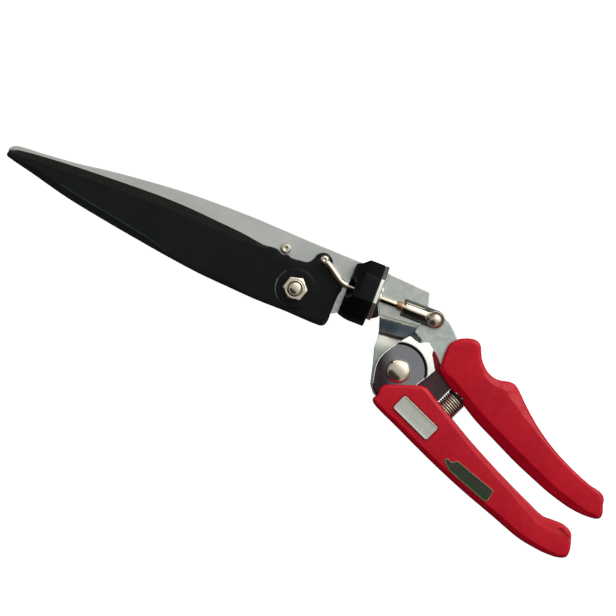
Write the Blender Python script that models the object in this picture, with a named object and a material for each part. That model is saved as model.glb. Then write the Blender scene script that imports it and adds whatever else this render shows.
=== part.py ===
"""Long-handled one-hand grass shears with a swivelling head.

All dimensions are in millimetres and are multiplied by MM when a mesh is
written, so the scene is in metres with +Z up.

Frame: the origin is the centre of the flat -Z end of the main pivot rivet.
+X runs along the swivel axis from the blades to the handles, +Z is the side
the connector and the blade nut stand on, and +Y is the spine side of the
fixed blade.
"""
import math

import bmesh
import bpy
from mathutils import Vector

MM = 0.001
SHARP_ANGLE = math.radians(32)
ALONG_X = (1, 0, 0)
ALONG_Z = (0, 0, 1)

# ----------------------------------------------------------- shared dimensions
SHEET = 1.8                    # thickness of the frame and lever plates

# swivel axis, parallel to X
AXIS_Y = 28.8
AXIS_Z = 12.0
AXIS = (0, AXIS_Y, AXIS_Z)
BLOCK_X0, BLOCK_X1 = -36.5, -23.6
FLANGE_X0, FLANGE_X1 = -23.2, -21.2
OCTAGON_R = 15.4               # corner radius of the block
OCTAGON_TURN = 10.0            # degrees from square
DETENT_R = 9.0                 # from the axis to the detent ball and dimples

# heights of the layers at the main pivot, from -Z to +Z
REAR_Z0 = 2.0                  # frame plate, below the lever
REAR_Z1 = REAR_Z0 + SHEET
LEVER_Z0 = 4.1
LEVER_Z1 = LEVER_Z0 + SHEET
NECK_Z0 = 6.3                  # frame plate, above the lever
NECK_Z1 = NECK_Z0 + SHEET
CHEEK_Z0 = 7.0
CHEEK_Z1 = CHEEK_Z0 + 1.6
CHEEK_DROP = 0.8               # depth of the round recess in the cheek
GRIP_Z0, GRIP_Z1 = -1.1, 11.9
GRIP_EDGE = 1.2

# blades
FIXED_Z0, FIXED_Z1 = 6.1, 8.1
MOVING_Z0, MOVING_Z1 = 8.3, 10.3
BLADE_EDGE = 0.2
BLADE_PIVOT = (-59.2, 18.8)
BLADE_PIVOT_BASE = (*BLADE_PIVOT, 0)
EAR = (-51.1, 36.4)            # where the pull rod hooks into the moving blade
STOP = (-70.1, 34.8)
BOLT_R = 3.0
TANG_PINS = (("a", "front", (-32.0, 20.0)), ("b", "rear", (-32.0, 37.6)))
TANG_HOLE_R = 1.65

# pull rod and connector
ROD_R = 1.25
BALL = (7.4, 28.4)             # pivot of the connector on the lever
EYE = (BALL[0], AXIS_Y)        # centre of the connector's eye and shoe end
EYE_BORE_R = 2.15

# rivets
MAIN_PIVOT = (0, 0)
MAIN_HOLE_R = 3.15
CORE_RIVET = (8.0, -14.0)
CORE_HOLE_R = 1.65

# return spring, between the two grips; the shoulders are distances from the
# centre along the spring's direction
SPRING_CENTRE = (29.1, -5.5, 5.4)
SPRING_DIR = Vector((0.407, 0.914, 0.0)).normalized()
SHOULDER_LOW, SHOULDER_HIGH = -5.6, 5.1

for old_object in list(bpy.data.objects):
    bpy.data.objects.remove(old_object, do_unlink=True)


# -------------------------------------------------------------------- materials
def material(name, colour, roughness, metallic, coat=0.0):
    surface = bpy.data.materials.new(name)
    surface.use_nodes = True
    inputs = surface.node_tree.nodes["Principled BSDF"].inputs
    inputs["Base Color"].default_value = (*colour, 1.0)
    inputs["Roughness"].default_value = roughness
    inputs["Metallic"].default_value = metallic
    inputs["Coat Weight"].default_value = coat
    return surface


BLACK_COAT = material("black_coat", colour=(0.010, 0.011, 0.012),
                      roughness=0.32, metallic=0.0, coat=0.3)
BLADE_STEEL = material("blade_steel", colour=(0.42, 0.43, 0.42), roughness=0.30, metallic=1.0)
ZINC_STEEL = material("zinc_steel", colour=(0.50, 0.53, 0.51), roughness=0.34, metallic=1.0)
CHROME = material("bright_plate", colour=(0.78, 0.79, 0.77), roughness=0.14, metallic=1.0)
NICKEL = material("nickel", colour=(0.66, 0.62, 0.52), roughness=0.18, metallic=1.0)
BRASS = material("brass_collar", colour=(0.45, 0.24, 0.12), roughness=0.30, metallic=1.0)
BLOCK_BLACK = material("block_black", colour=(0.008, 0.009, 0.010),
                       roughness=0.38, metallic=0.0)
GRIP_RED = material("grip_red", colour=(0.42, 0.012, 0.022),
                    roughness=0.30, metallic=0.0, coat=0.25)
SPRING_STEEL = material("spring_steel", colour=(0.50, 0.44, 0.36),
                        roughness=0.28, metallic=1.0)
BADGE_SILVER = material("badge_silver", colour=(0.47, 0.48, 0.46),
                        roughness=0.45, metallic=0.6)
LABEL_GREEN = material("label_green", colour=(0.012, 0.030, 0.018),
                       roughness=0.45, metallic=0.0)
LEVER_STEEL = material("lever_steel", colour=(0.30, 0.31, 0.31), roughness=0.36, metallic=1.0)


# ------------------------------------------------------------------ 2-D outlines
def counter_clockwise(points):
    following = points[1:] + points[:1]
    doubled_area = sum(x0 * y1 - x1 * y0 for (x0, y0), (x1, y1) in zip(points, following))
    return list(points) if doubled_area > 0 else list(reversed(points))


def spline(points, steps=2):
    """Closed Catmull-Rom loop. A point with a third entry is a sharp corner."""
    loop = []
    count = len(points)
    for i in range(count):
        before, start, end, after = (Vector(points[(i + k) % count][:2])
                                     for k in (-1, 0, 1, 2))
        start_sharp = len(points[i]) > 2
        end_sharp = len(points[(i + 1) % count]) > 2
        if start_sharp and end_sharp:
            loop.append(tuple(start))
            continue
        span = (end - start).length
        flat = Vector((0, 0))
        leave = flat if start_sharp else (end - before).normalized() * span
        arrive = flat if end_sharp else (after - start).normalized() * span
        for k in range(steps):
            t = k / steps
            point = ((2 * t**3 - 3 * t**2 + 1) * start + (t**3 - 2 * t**2 + t) * leave
                     + (-2 * t**3 + 3 * t**2) * end + (t**3 - t**2) * arrive)
            loop.append((point.x, point.y))
    return loop


def inset(points, distance):
    """Move a counter-clockwise loop inwards by distance."""
    count = len(points)
    moved = []
    for i in range(count):
        before, here, after = (Vector(points[(i + k) % count]) for k in (-1, 0, 1))
        edge_in, edge_out = (here - before).normalized(), (after - here).normalized()
        normal_in = Vector((-edge_in.y, edge_in.x))
        normal_out = Vector((-edge_out.y, edge_out.x))
        bisector = (normal_in + normal_out).normalized()
        # the limit keeps acute corners from running far out
        corner = here + bisector * (distance / max(0.5, bisector.dot(normal_in)))
        moved.append((corner.x, corner.y))
    return moved


def circle(centre, radius, sides, turn=0.0):
    angles = [turn + 2 * math.pi * i / sides for i in range(sides)]
    return [(centre[0] + radius * math.cos(angle), centre[1] + radius * math.sin(angle))
            for angle in angles]


def arc(centre, radius_x, radius_y, first, step, count):
    """Points on an elliptic arc; first and step are in degrees."""
    angles = [math.radians(first + step * i) for i in range(count)]
    return [(centre[0] + radius_x * math.cos(angle), centre[1] + radius_y * math.sin(angle))
            for angle in angles]


def rectangle(x0, y0, x1, y1):
    return [(x0, y0), (x1, y0), (x1, y1), (x0, y1)]


def rounded_rectangle(centre, width, height, radius, turn, steps=4):
    """Rectangle with rounded corners, turned by turn degrees."""
    points = []
    for side_x, side_y, first in ((1, 1, 0), (-1, 1, 90), (-1, -1, 180), (1, -1, 270)):
        corner = (side_x * (width / 2 - radius), side_y * (height / 2 - radius))
        points += arc(corner, radius, radius, first, 90 / steps, steps + 1)
    cosine, sine = math.cos(math.radians(turn)), math.sin(math.radians(turn))
    return [(centre[0] + x * cosine - y * sine, centre[1] + x * sine + y * cosine)
            for x, y in points]


# ---------------------------------------------------------------- solids (bmesh)
def loft(rings, closed=False):
    """Join equal-length rings of 3-D points, capping the ends or closing the
    last ring onto the first."""
    solid = bmesh.new()
    rows = [[solid.verts.new(point) for point in points] for points in rings]
    count = len(rows[0])
    following = rows[1:] + rows[:1] if closed else rows[1:]
    for low, high in zip(rows, following):
        for i in range(count):
            k = (i + 1) % count
            solid.faces.new((low[i], low[k], high[k], high[i]))
    if not closed:
        solid.faces.new(list(reversed(rows[0])))
        solid.faces.new(rows[-1])
    return solid


def prism_solid(points, z0, z1, edge=0.0):
    """Upright prism; edge breaks the upper and lower rims by that amount."""
    points = counter_clockwise(points)
    layers = [(z0, 0.0), (z1, 0.0)]                    # height, inset
    if edge > 0:
        layers = [(z0, edge), (z0 + edge, 0.0), (z1 - edge, 0.0), (z1, edge)]
    if edge > 0.5:
        layers.insert(1, (z0 + 0.3 * edge, 0.3 * edge))
        layers.insert(-1, (z1 - 0.3 * edge, 0.3 * edge))
    return loft([[(x, y, z) for x, y in (inset(points, amount) if amount else points)]
                 for z, amount in layers])


def revolve_rings(profile, base, direction, sides):
    """Rings of a profile of (radius, height along direction) about an axis."""
    direction = Vector(direction).normalized()
    across = direction.orthogonal().normalized()
    if abs(direction.z) > 0.9:
        across = Vector(ALONG_X)
    third = direction.cross(across)
    base = Vector(base)
    angles = [2 * math.pi * i / sides for i in range(sides)]
    return [[base + direction * height
             + (across * math.cos(angle) + third * math.sin(angle)) * radius
             for angle in angles] for radius, height in profile]


def cylinder_solid(base, direction, length, radius, sides):
    return loft(revolve_rings([(radius, 0), (radius, length)], base, direction, sides))


def sheet_solid(polygons):
    """Extrude connected top polygons straight down by the sheet thickness."""
    solid = bmesh.new()
    shared = {}

    def vertex(point):
        key = tuple(round(value, 4) for value in point)
        if key not in shared:
            shared[key] = solid.verts.new(point)
        return shared[key]
    for polygon in polygons:
        solid.faces.new([vertex(point) for point in polygon])
    bmesh.ops.recalc_face_normals(solid, faces=solid.faces)
    extruded = bmesh.ops.extrude_face_region(solid, geom=list(solid.faces))["geom"]
    for item in extruded:
        if isinstance(item, bmesh.types.BMVert):
            item.co.z -= SHEET
    return solid


# ---------------------------------------------------------------------- objects
def finish(name, solid, surface, smooth=True, origin=(0, 0, 0)):
    """Write a solid given in millimetres as an object with its origin set."""
    origin = Vector(origin)
    for vertex in solid.verts:
        vertex.co = (vertex.co - origin) * MM
    bmesh.ops.recalc_face_normals(solid, faces=solid.faces)
    mesh = bpy.data.meshes.new(name)
    solid.to_mesh(mesh)
    solid.free()
    mesh.materials.append(surface)
    if smooth:
        mesh.shade_smooth()
        mesh.set_sharp_from_angle(angle=SHARP_ANGLE)
    part = bpy.data.objects.new(name, mesh)
    part.location = origin * MM
    bpy.context.scene.collection.objects.link(part)
    return part


def prism(name, points, z0, z1, surface, edge=0.0, origin=(0, 0, 0)):
    return finish(name, prism_solid(points, z0, z1, edge), surface, origin=origin)


def turned(name, profile, base, direction, surface, sides):
    """Solid of revolution with flat ends; its origin is at base."""
    solid = loft(revolve_rings(profile, base, direction, sides))
    return finish(name, solid, surface, origin=base)


def turned_ring(name, profile, base, direction, surface, sides):
    """Solid of revolution whose profile is a closed loop away from the axis."""
    solid = loft(revolve_rings(profile, base, direction, sides), closed=True)
    return finish(name, solid, surface, origin=base)


def sweep(name, stations, surface, sides, origin=(0, 0, 0)):
    """Round wire through stations of (x, y, z, wire radius)."""
    points = [Vector(station[:3]) for station in stations]
    last = len(points) - 1
    tangents = [(points[min(last, i + 1)] - points[max(0, i - 1)]).normalized()
                for i in range(last + 1)]
    angles = [2 * math.pi * i / sides for i in range(sides)]
    across = tangents[0].orthogonal().normalized()
    rings = []
    for point, tangent, station in zip(points, tangents, stations):
        across = (across - tangent * across.dot(tangent)).normalized()
        third = tangent.cross(across)
        rings.append([point + (across * math.cos(angle) + third * math.sin(angle)) * station[3]
                      for angle in angles])
    return finish(name, loft(rings), surface, origin=origin)


def coil_spring(name, start, end, across, coil_radius, wire_radius, turns, steps):
    """Helix from start to end, beginning on the across side and turning to +Z."""
    start, end, across, up = Vector(start), Vector(end), Vector(across), Vector(ALONG_Z)
    stations = []
    for i in range(turns * steps + 1):
        angle = 2 * math.pi * i / steps
        centre = start + (end - start) * (i / (turns * steps))
        point = centre + (across * math.cos(angle) + up * math.sin(angle)) * coil_radius
        stations.append((*point, wire_radius))
    sweep(name, stations, SPRING_STEEL, 5)


def combine(target, name, solid, operation="DIFFERENCE"):
    """Make a hidden helper of the solid and apply it to target as a boolean."""
    tool = finish(name, solid, ZINC_STEEL, smooth=False)
    tool.hide_render = True
    tool.display_type = "WIRE"
    modifier = target.modifiers.new(name, "BOOLEAN")
    modifier.operation = operation
    modifier.solver = "EXACT"
    modifier.object = tool


def hole(target, tag, centre, radius, sides, z0=0, z1=20):
    """Cut an upright round hole between two heights."""
    combine(target, "cut_" + tag, prism_solid(circle(centre, radius, sides), z0, z1))


def bore(target, tag, base, direction, length, radius, sides):
    """Cut a round hole along any direction."""
    combine(target, "cut_" + tag, cylinder_solid(base, direction, length, radius, sides))


def pocket(target, tag, outline, z0, z1):
    """Cut room for a plate, with clearance around its rim and its faces."""
    rim_gap, face_gap = 0.3, 0.2
    combine(target, "cut_" + tag, prism_solid(
        inset(counter_clockwise(outline), -rim_gap), z0 - face_gap, z1 + face_gap))


# ------------------------------------------------------------------ fixed blade
# (x, y), with a third entry at sharp corners
fixed_outline = [
    (-208.5, 31.0), (-207.8, 33.2), (-205.0, 34.8), (-192.0, 35.8), (-175.0, 37.3),
    (-161.0, 39.3), (-136.5, 41.8), (-116.5, 43.0), (-91.5, 43.2), (-70.5, 42.5),
    (-57.5, 42.0), (-40.0, 41.6, 1), (-28.5, 41.4, 1), (-28.5, 16.0, 1), (-36.0, 15.6, 1),
    (-39.6, 13.6), (-43.0, 10.2), (-50.0, 8.8), (-62.0, 9.0), (-71.0, 12.0),
    (-78.0, 19.0), (-95.0, 21.5), (-120.0, 23.8), (-150.0, 26.2), (-185.0, 29.0),
    (-204.0, 30.2)]
fixed_blade = prism("fixed_blade", spline(fixed_outline), FIXED_Z0, FIXED_Z1,
                    BLADE_STEEL, BLADE_EDGE)
hole(fixed_blade, "fixed_pivot", BLADE_PIVOT, BOLT_R + 0.15, 28)
hole(fixed_blade, "fixed_stop", STOP, 1.6, 16)
for tag, _, centre in TANG_PINS:
    hole(fixed_blade, "fixed_tang_" + tag, centre, TANG_HOLE_R, 16)

turned("stop_pin", [
    (1.9, 5.2), (1.9, 5.8), (1.4, 5.85), (1.4, 8.3), (2.2, 8.35), (2.2, 10.6),
    (1.8, 11.1), (1.0, 11.2), (0.8, 10.9)], (*STOP, 0), ALONG_Z, NICKEL, 16)

# ----------------------------------------------------------------- moving blade
# (x, y)
moving_outline = [
    (-208.4, 29.0), (-207.6, 31.6), (-205.4, 32.6), (-200.5, 33.4), (-191.5, 34.3),
    (-172.5, 35.5), (-137.5, 36.7), (-120.0, 36.4), (-105.0, 35.3), (-92.0, 34.3),
    (-80.0, 32.7), (-75.8, 33.2), (-73.2, 33.0), (-70.6, 31.6), (-67.8, 32.4),
    (-66.0, 31.6), (-61.6, 32.0), (-58.0, 32.6), (-56.0, 35.0), (-55.0, 37.6),
    (-52.5, 39.4), (-49.8, 39.2), (-47.6, 37.6), (-46.6, 35.6), (-42.5, 31.5),
    (-38.8, 27.4), (-39.4, 22.0), (-39.5, 14.0), (-39.6, 9.6), (-40.8, 7.2),
    (-43.5, 6.6), (-51.6, 6.8), (-60.4, 7.2), (-74.5, 7.3), (-89.7, 8.2),
    (-104.0, 9.2), (-119.5, 11.1), (-135.0, 13.4), (-155.5, 16.7), (-175.0, 20.3),
    (-194.0, 25.0), (-206.6, 28.0)]
moving_blade = prism("moving_blade", spline(moving_outline), MOVING_Z0, MOVING_Z1,
                     BLACK_COAT, BLADE_EDGE, BLADE_PIVOT_BASE)
combine(moving_blade, "boss_tool",
        prism_solid(circle(BLADE_PIVOT, 9.4, 36), 9.6, 10.7, 0.3), "UNION")
hole(moving_blade, "moving_pivot", BLADE_PIVOT, BOLT_R + 0.2, 28)
hole(moving_blade, "moving_ear", EAR, ROD_R + 0.45, 20)

# --------------------------------------------------- blade bolt, nut and washer
hexagon = circle(BLADE_PIVOT, 5.85, 6, math.radians(12))
turned_ring("blade_washer", [(3.2, 4.9), (6.6, 4.9), (6.6, 5.9), (3.2, 5.9)],
            BLADE_PIVOT_BASE, ALONG_Z, NICKEL, 28)
blade_bolt = prism("blade_bolt", hexagon, 1.2, 4.7, NICKEL, origin=BLADE_PIVOT_BASE)
combine(blade_bolt, "shank_tool",
        prism_solid(circle(BLADE_PIVOT, BOLT_R, 28), 4.0, 16.2, 0.8), "UNION")
blade_nut = prism("blade_nut", hexagon, 10.95, 15.4, NICKEL, origin=BLADE_PIVOT_BASE)
hole(blade_nut, "nut_bore", BLADE_PIVOT, BOLT_R + 0.08, 28, 5, 25)


# ----------------------------------------------------------------- swivel block
def octagon_ring(x, radius):
    angles = [math.radians(22.5 + 45 * i + OCTAGON_TURN) for i in range(8)]
    return [(x, AXIS_Y + radius * math.sin(angle), AXIS_Z + radius * math.cos(angle))
            for angle in angles]


swivel_block = finish("swivel_block", loft([
    octagon_ring(BLOCK_X0, OCTAGON_R - 2.2),
    octagon_ring(BLOCK_X0 + 1.0, OCTAGON_R - 0.8),
    octagon_ring(BLOCK_X0 + 2.4, OCTAGON_R),
    octagon_ring(BLOCK_X1 - 0.5, OCTAGON_R),
    octagon_ring(BLOCK_X1, OCTAGON_R - 0.5)]), BLOCK_BLACK,
    origin=(BLOCK_X1, AXIS_Y, AXIS_Z))
bore(swivel_block, "block_bore", (-40, AXIS_Y, AXIS_Z), ALONG_X, 20, 3.2, 28)
combine(swivel_block, "cut_tang_slot", prism_solid(
    rectangle(-40, 15.3, -28.2, 42.1), FIXED_Z0 - 0.2, FIXED_Z1 + 0.2))
for tag, place, centre in TANG_PINS:
    hole(swivel_block, "block_pin_" + tag, centre, TANG_HOLE_R, 16, -8, 11.2)
    turned("tang_pin_" + place, [(1.1, -0.9), (1.5, -0.5), (1.5, 10.5), (1.1, 10.9)],
           (*centre, 0), ALONG_Z, SPRING_STEEL, 16)

# ----------------------------------------------------------------------- detent
DETENT_Z = AXIS_Z + DETENT_R
DETENT_BALL_R = 1.6
DETENT_BALL_PROUD = 0.28       # how far the ball stands out of the block
DETENT_SPRING_X0 = -31.0
DETENT_SPRING_LENGTH = 4.2
bore(swivel_block, "detent_pocket", (-31.5, AXIS_Y, DETENT_Z), ALONG_X, 12, 1.85, 16)

# rings of latitude, with small flats at the poles
turned("detent_ball", [
    (DETENT_BALL_R * math.sin(math.radians(angle)),
     -DETENT_BALL_R * math.cos(math.radians(angle)))
    for angle in (12, 35, 60, 90, 120, 145, 168)],
    (BLOCK_X1 + DETENT_BALL_PROUD - DETENT_BALL_R, AXIS_Y, DETENT_Z), ALONG_X, NICKEL, 14)
coil_spring("detent_spring", (DETENT_SPRING_X0, AXIS_Y, DETENT_Z),
            (DETENT_SPRING_X0 + DETENT_SPRING_LENGTH, AXIS_Y, DETENT_Z),
            across=(0, 1, 0), coil_radius=1.25, wire_radius=0.22, turns=5, steps=10)

# ------------------------------------------- hollow rivet the head swivels on
turned_ring("swivel_sleeve", [
    (2.5, -29.0), (3.1, -29.0), (3.1, -21.0), (3.7, -20.95), (3.7, -20.3),
    (3.4, -20.1), (2.5, -20.1)], AXIS, ALONG_X, NICKEL, 28)

# -------------------------------------------------------------------- pull rod
# It rises through the ear, bends onto the height of the swivel axis, runs in
# to the axis and ends in a head. Stations are (x, y, z, radius).
ROD_BEND_R = 2.2
ROD_BEND_STEPS = 5
rod_stations = [(*EAR, 8.55, 1.0), (*EAR, 8.9, ROD_R)]
for k in range(ROD_BEND_STEPS + 1):
    angle = math.radians(90 * k / ROD_BEND_STEPS)
    out = ROD_BEND_R * (1 - math.cos(angle))
    rise = ROD_BEND_R * math.sin(angle)
    rod_stations.append((EAR[0] + 0.86 * out, EAR[1] - 0.51 * out,
                         AXIS_Z - ROD_BEND_R + rise, ROD_R))
rod_stations += [(x, y, AXIS_Z, ROD_R) for x, y in (
    (-46.6, 33.8), (-44.0, 32.15), (-41.8, 30.7), (-40.2, 29.7), (-38.6, 29.1),
    (-37.0, 28.85), (-35.0, AXIS_Y), (-11.0, AXIS_Y), (-6.3, AXIS_Y))]
rod_stations += [(x, AXIS_Y, AXIS_Z, radius) for x, radius in (
    (-6.1, ROD_R), (-6.0, 2.0), (-4.9, 2.0), (-4.5, 1.6))]
sweep("pull_rod", rod_stations, NICKEL, 12, origin=(-5.0, AXIS_Y, AXIS_Z))
turned_ring("rod_collar", [
    (1.6, -10.9), (2.0, -10.9), (2.15, -10.7), (2.15, -9.0), (2.0, -8.8),
    (1.6, -8.8)], AXIS, ALONG_X, BRASS, 20)

# ------------------------------------------------------------------- connector
connector_barrel = turned_ring("connector_barrel", [
    (1.5, -7.9), (2.6, -7.9), (2.9, -7.6), (2.9, 2.7), (2.6, 3.0), (1.2, 3.0),
    (1.2, 1.5), (2.3, 1.5), (2.3, -6.7), (1.5, -6.7)], AXIS, ALONG_X, NICKEL, 28)
eye_outline = [
    (1.8, AXIS_Y - 1.7), (EYE[0] - 3.0, AXIS_Y - 2.5),
    *arc(EYE, 3.9, 3.9, -120, 15, 17),
    (EYE[0] - 3.0, AXIS_Y + 2.5), (1.8, AXIS_Y + 1.7)]
combine(connector_barrel, "eye_tool", prism_solid(eye_outline, 9.3, 11.1), "UNION")
hole(connector_barrel, "eye_bore", EYE, EYE_BORE_R, 20, 5, 20)

shoe_outline = [(-8.9, 24.5), (7.4, 24.4), *arc(EYE, 4.5, 4.4, -75, 15, 11),
                (7.4, 33.2), (-8.9, 33.1)]
connector_shoe = prism("connector_shoe", shoe_outline, 8.3, 8.9, LEVER_STEEL)
hole(connector_shoe, "shoe_bore", EYE, EYE_BORE_R, 20, 5, 20)

# rivet with a ball head on its +Z end
BALL_HEAD_R = 4.0
BALL_HEAD_Z = 13.4
turned("connector_rivet", [(2.6, 2.7), (2.6, 3.6), (1.4, 3.75), (1.4, 11.3)] + [
    (BALL_HEAD_R * math.sin(math.radians(angle)),
     BALL_HEAD_Z + BALL_HEAD_R * math.cos(math.radians(angle)))
    for angle in (121, 105, 90, 75, 60, 45, 30, 16, 5)], (*BALL, 0), ALONG_Z, NICKEL, 24)

# ----------------------------------------------------------------- frame plate
# (x, y) of the top surface of one pressed sheet: the neck, a sloping band down
# from it, and the pivot area
band_top = [(-6.4, 21.67), (-17.4, 20.6)]
band_low = [(-6.6, 15.22), (-15.2, 14.2)]
flap_corner = (0.9, 22.38)
neck = [(-22.0, 41.4), (0.6, 39.9), (2.4, 33.1), (2.4, 31.3), (-2.4, 31.3),
        (-2.4, 26.5), (2.0, 26.5), flap_corner, *band_top, (-20.0, 25.6), (-22.0, 25.6)]
# on the +X side of the band the neck ends in a thinned flap over the lever
flap = [band_top[0], flap_corner, (-0.2, 18.5), (-1.2, 17.85), (-2.5, 16.3),
        (-6.55, 15.15)]
FLAP_Z0 = 6.15                 # underside of the flap
FLAP_FALL = 0.19               # drop per millimetre from the neck towards -Y
pivot_area = [
    (-15.2, 14.2), (-14.4, 10.0), (-14.6, 6.7), (-13.6, 3.0), (-12.4, -1.0),
    (-11.0, -7.0), (-10.0, -10.8), (-7.2, -14.2), (-2.5, -16.4), (12.0, -22.4),
    (30.0, -30.4), (58.0, -40.2), (84.0, -49.0), (92.0, -50.0), (92.0, -46.4),
    (60.0, -35.6), (34.0, -22.5), (16.0, -12.0), (10.5, -6.0), (11.5, 2.0),
    (9.5, 9.5), (8.8, 14.0), (7.0, 18.4), (1.0, 20.6), (-4.4, 19.8),
    (-5.9, 15.3), (-6.6, 15.22)]


def flap_height(x, y):
    """Top of the flap, which falls away from its straight joint to the neck."""
    joint_x, joint_y = band_top[0]
    slope = (flap_corner[1] - joint_y) / (flap_corner[0] - joint_x)
    return NECK_Z1 - FLAP_FALL * (joint_y + (x - joint_x) * slope - y)


frame_plate = finish("frame_plate", sheet_solid([
    [(x, y, NECK_Z1) for x, y in neck],
    [(*band_top[0], NECK_Z1), (*band_low[0], REAR_Z1),
     (*band_low[1], REAR_Z1), (*band_top[1], NECK_Z1)],
    [(x, y, flap_height(x, y)) for x, y in flap],
    [(x, y, REAR_Z1) for x, y in pivot_area]]), ZINC_STEEL)
combine(frame_plate, "flap_tool", prism_solid(
    [(-6.3, 14.0), (2.0, 14.0), (2.0, 22.2), (-6.3, 21.5)], 4.2, FLAP_Z0))
combine(frame_plate, "flange_tool", loft(
    [octagon_ring(x, OCTAGON_R - 0.2) for x in (FLANGE_X0, FLANGE_X1)]), "UNION")
# the flange is cut straight on its -Y side, outside the ring of dimples
combine(frame_plate, "flange_cut", prism_solid(
    rectangle(-24.0, 9.0, -20.6, 18.2), -10, 40))
bore(frame_plate, "flange_bore", (-30, AXIS_Y, AXIS_Z), ALONG_X, 9.6, 3.3, 28)
for i in range(8):
    angle = math.radians(45 * i)
    centre = (-24.0, AXIS_Y + DETENT_R * math.sin(angle), AXIS_Z + DETENT_R * math.cos(angle))
    bore(frame_plate, "dimple_%d" % i, centre, ALONG_X, 1.4, 1.1, 10)
hole(frame_plate, "frame_pivot", MAIN_PIVOT, MAIN_HOLE_R, 28, -5, 5)
hole(frame_plate, "frame_core", CORE_RIVET, CORE_HOLE_R, 16, -5, 5)

# ------------------------------------------------------------------ near cheek
# (x, y)
cheek_outline = [
    (-0.9, 17.5), (-4.8, 12.7), (-7.3, 9.0), (-9.4, 5.6), (-10.7, 2.1),
    (-10.9, -1.5), (-10.4, -5.0), (-9.4, -9.3), (-8.2, -12.1), (-5.0, -14.8),
    (-1.0, -16.6), (12.0, -22.0), (26.0, -28.0), (28.0, -22.0), (15.0, -12.5),
    (11.0, -6.0), (10.6, -2.8), (16.4, 6.4), (15.7, 7.2), (12.2, 12.9),
    (12.0, 15.0), (8.6, 17.6), (7.0, 17.4), (4.8, 15.9), (2.2, 16.4)]
near_cheek = prism("near_cheek_plate", cheek_outline, CHEEK_Z0, CHEEK_Z1, CHROME)
# round recess in the +Z face around the rivet
combine(near_cheek, "press_tool", prism_solid(
    circle(MAIN_PIVOT, 12.6, 40), CHEEK_Z1 - CHEEK_DROP, 20))
hole(near_cheek, "cheek_pivot", MAIN_PIVOT, MAIN_HOLE_R, 28)
hole(near_cheek, "cheek_core", CORE_RIVET, CORE_HOLE_R, 16)

# ------------------------------------------------------------- rivets and bush
turned("main_rivet", [
    (4.6, 0.0), (5.0, 0.3), (5.0, 1.5), (4.8, 1.7), (3.0, 1.75), (3.0, 8.0),
    (5.6, 8.1), (5.7, 8.7), (5.1, 9.8), (3.7, 10.7), (2.0, 11.15), (0.5, 11.25)],
    (*MAIN_PIVOT, 0), ALONG_Z, NICKEL, 32)
turned_ring("pivot_bush", [(MAIN_HOLE_R, 4.0), (4.3, 4.0), (4.3, 6.05), (MAIN_HOLE_R, 6.05)],
            (*MAIN_PIVOT, 0), ALONG_Z, BRASS, 28)
turned("core_rivet", [
    (2.4, 1.0), (2.4, 1.8), (1.5, 1.85), (1.5, 8.75), (2.4, 8.8), (2.4, 9.6)],
    (*CORE_RIVET, 0), ALONG_Z, ZINC_STEEL, 16)

# ----------------------------------------------------------------- lever plate
# (x, y)
lever_outline = [
    (2.9, 25.4), (2.7, 28.4), (3.5, 31.2), (5.6, 32.8), (8.6, 33.0), (11.2, 31.6),
    (14.6, 29.8), (18.1, 26.8), (21.0, 23.6), (26.0, 20.5), (32.0, 14.0), (40.0, 8.5),
    (57.0, 2.0), (79.0, -13.0), (99.0, -22.6), (97.0, -26.6), (78.0, -20.0),
    (55.0, -9.0), (42.0, -2.6), (35.5, 2.6), (28.0, 3.0), (25.5, 0.2), (23.3, -5.0),
    (22.2, -6.8), (18.5, -7.8), (10.0, -8.4), (3.5, -9.2), (-3.0, -9.0), (-7.6, -5.6),
    (-9.4, 0.0), (-7.8, 5.4), (-3.2, 9.4), (1.6, 13.0), (5.2, 16.2), (4.8, 17.4),
    (0.3, 19.8), (1.0, 23.3)]
lever_plate = prism("lever_plate", lever_outline, LEVER_Z0, LEVER_Z1, LEVER_STEEL)
hole(lever_plate, "lever_pivot", MAIN_PIVOT, 4.5, 28, 0, 10)
hole(lever_plate, "lever_ball", BALL, 1.6, 20, 0, 10)

# ------------------------------------------------------------------ upper grip
# (x, y)
upper_outline = [
    (18.2, 7.0), (17.5, 12.5), (17.4, 17.0), (18.2, 20.8), (20.6, 23.6), (24.0, 25.6),
    (27.4, 26.6), (30.2, 26.3), (32.0, 24.8), (33.2, 22.2), (34.9, 19.0), (37.2, 16.4),
    (40.0, 14.3), (43.4, 13.1), (47.0, 13.1), (50.4, 13.9), (53.2, 13.8), (56.0, 12.0),
    (62.4, 5.9), (70.9, -1.2), (81.2, -8.0), (93.6, -14.1), (103.6, -17.9),
    (108.6, -19.0), (111.4, -21.0), (112.4, -24.6), (113.6, -28.6), (112.6, -31.2),
    (107.3, -32.1), (101.1, -31.8), (95.2, -30.7), (86.5, -28.2), (78.3, -25.1),
    (67.1, -20.6), (53.5, -14.2), (43.0, -9.2), (34.7, -4.3), (24.8, 1.8)]
upper_grip = prism("upper_grip", spline(upper_outline), GRIP_Z0, GRIP_Z1,
                   GRIP_RED, GRIP_EDGE)
# thin tongue on the -X end
combine(upper_grip, "tongue_tool", prism_solid(
    [(11.8, 13.6), (13.1, 14.6), (20.5, 10.5), (20.5, 5.5), (17.6, 5.6)],
    6.15, 6.65), "UNION")
pocket(upper_grip, "lever_pocket", lever_outline, LEVER_Z0, LEVER_Z1)

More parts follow.
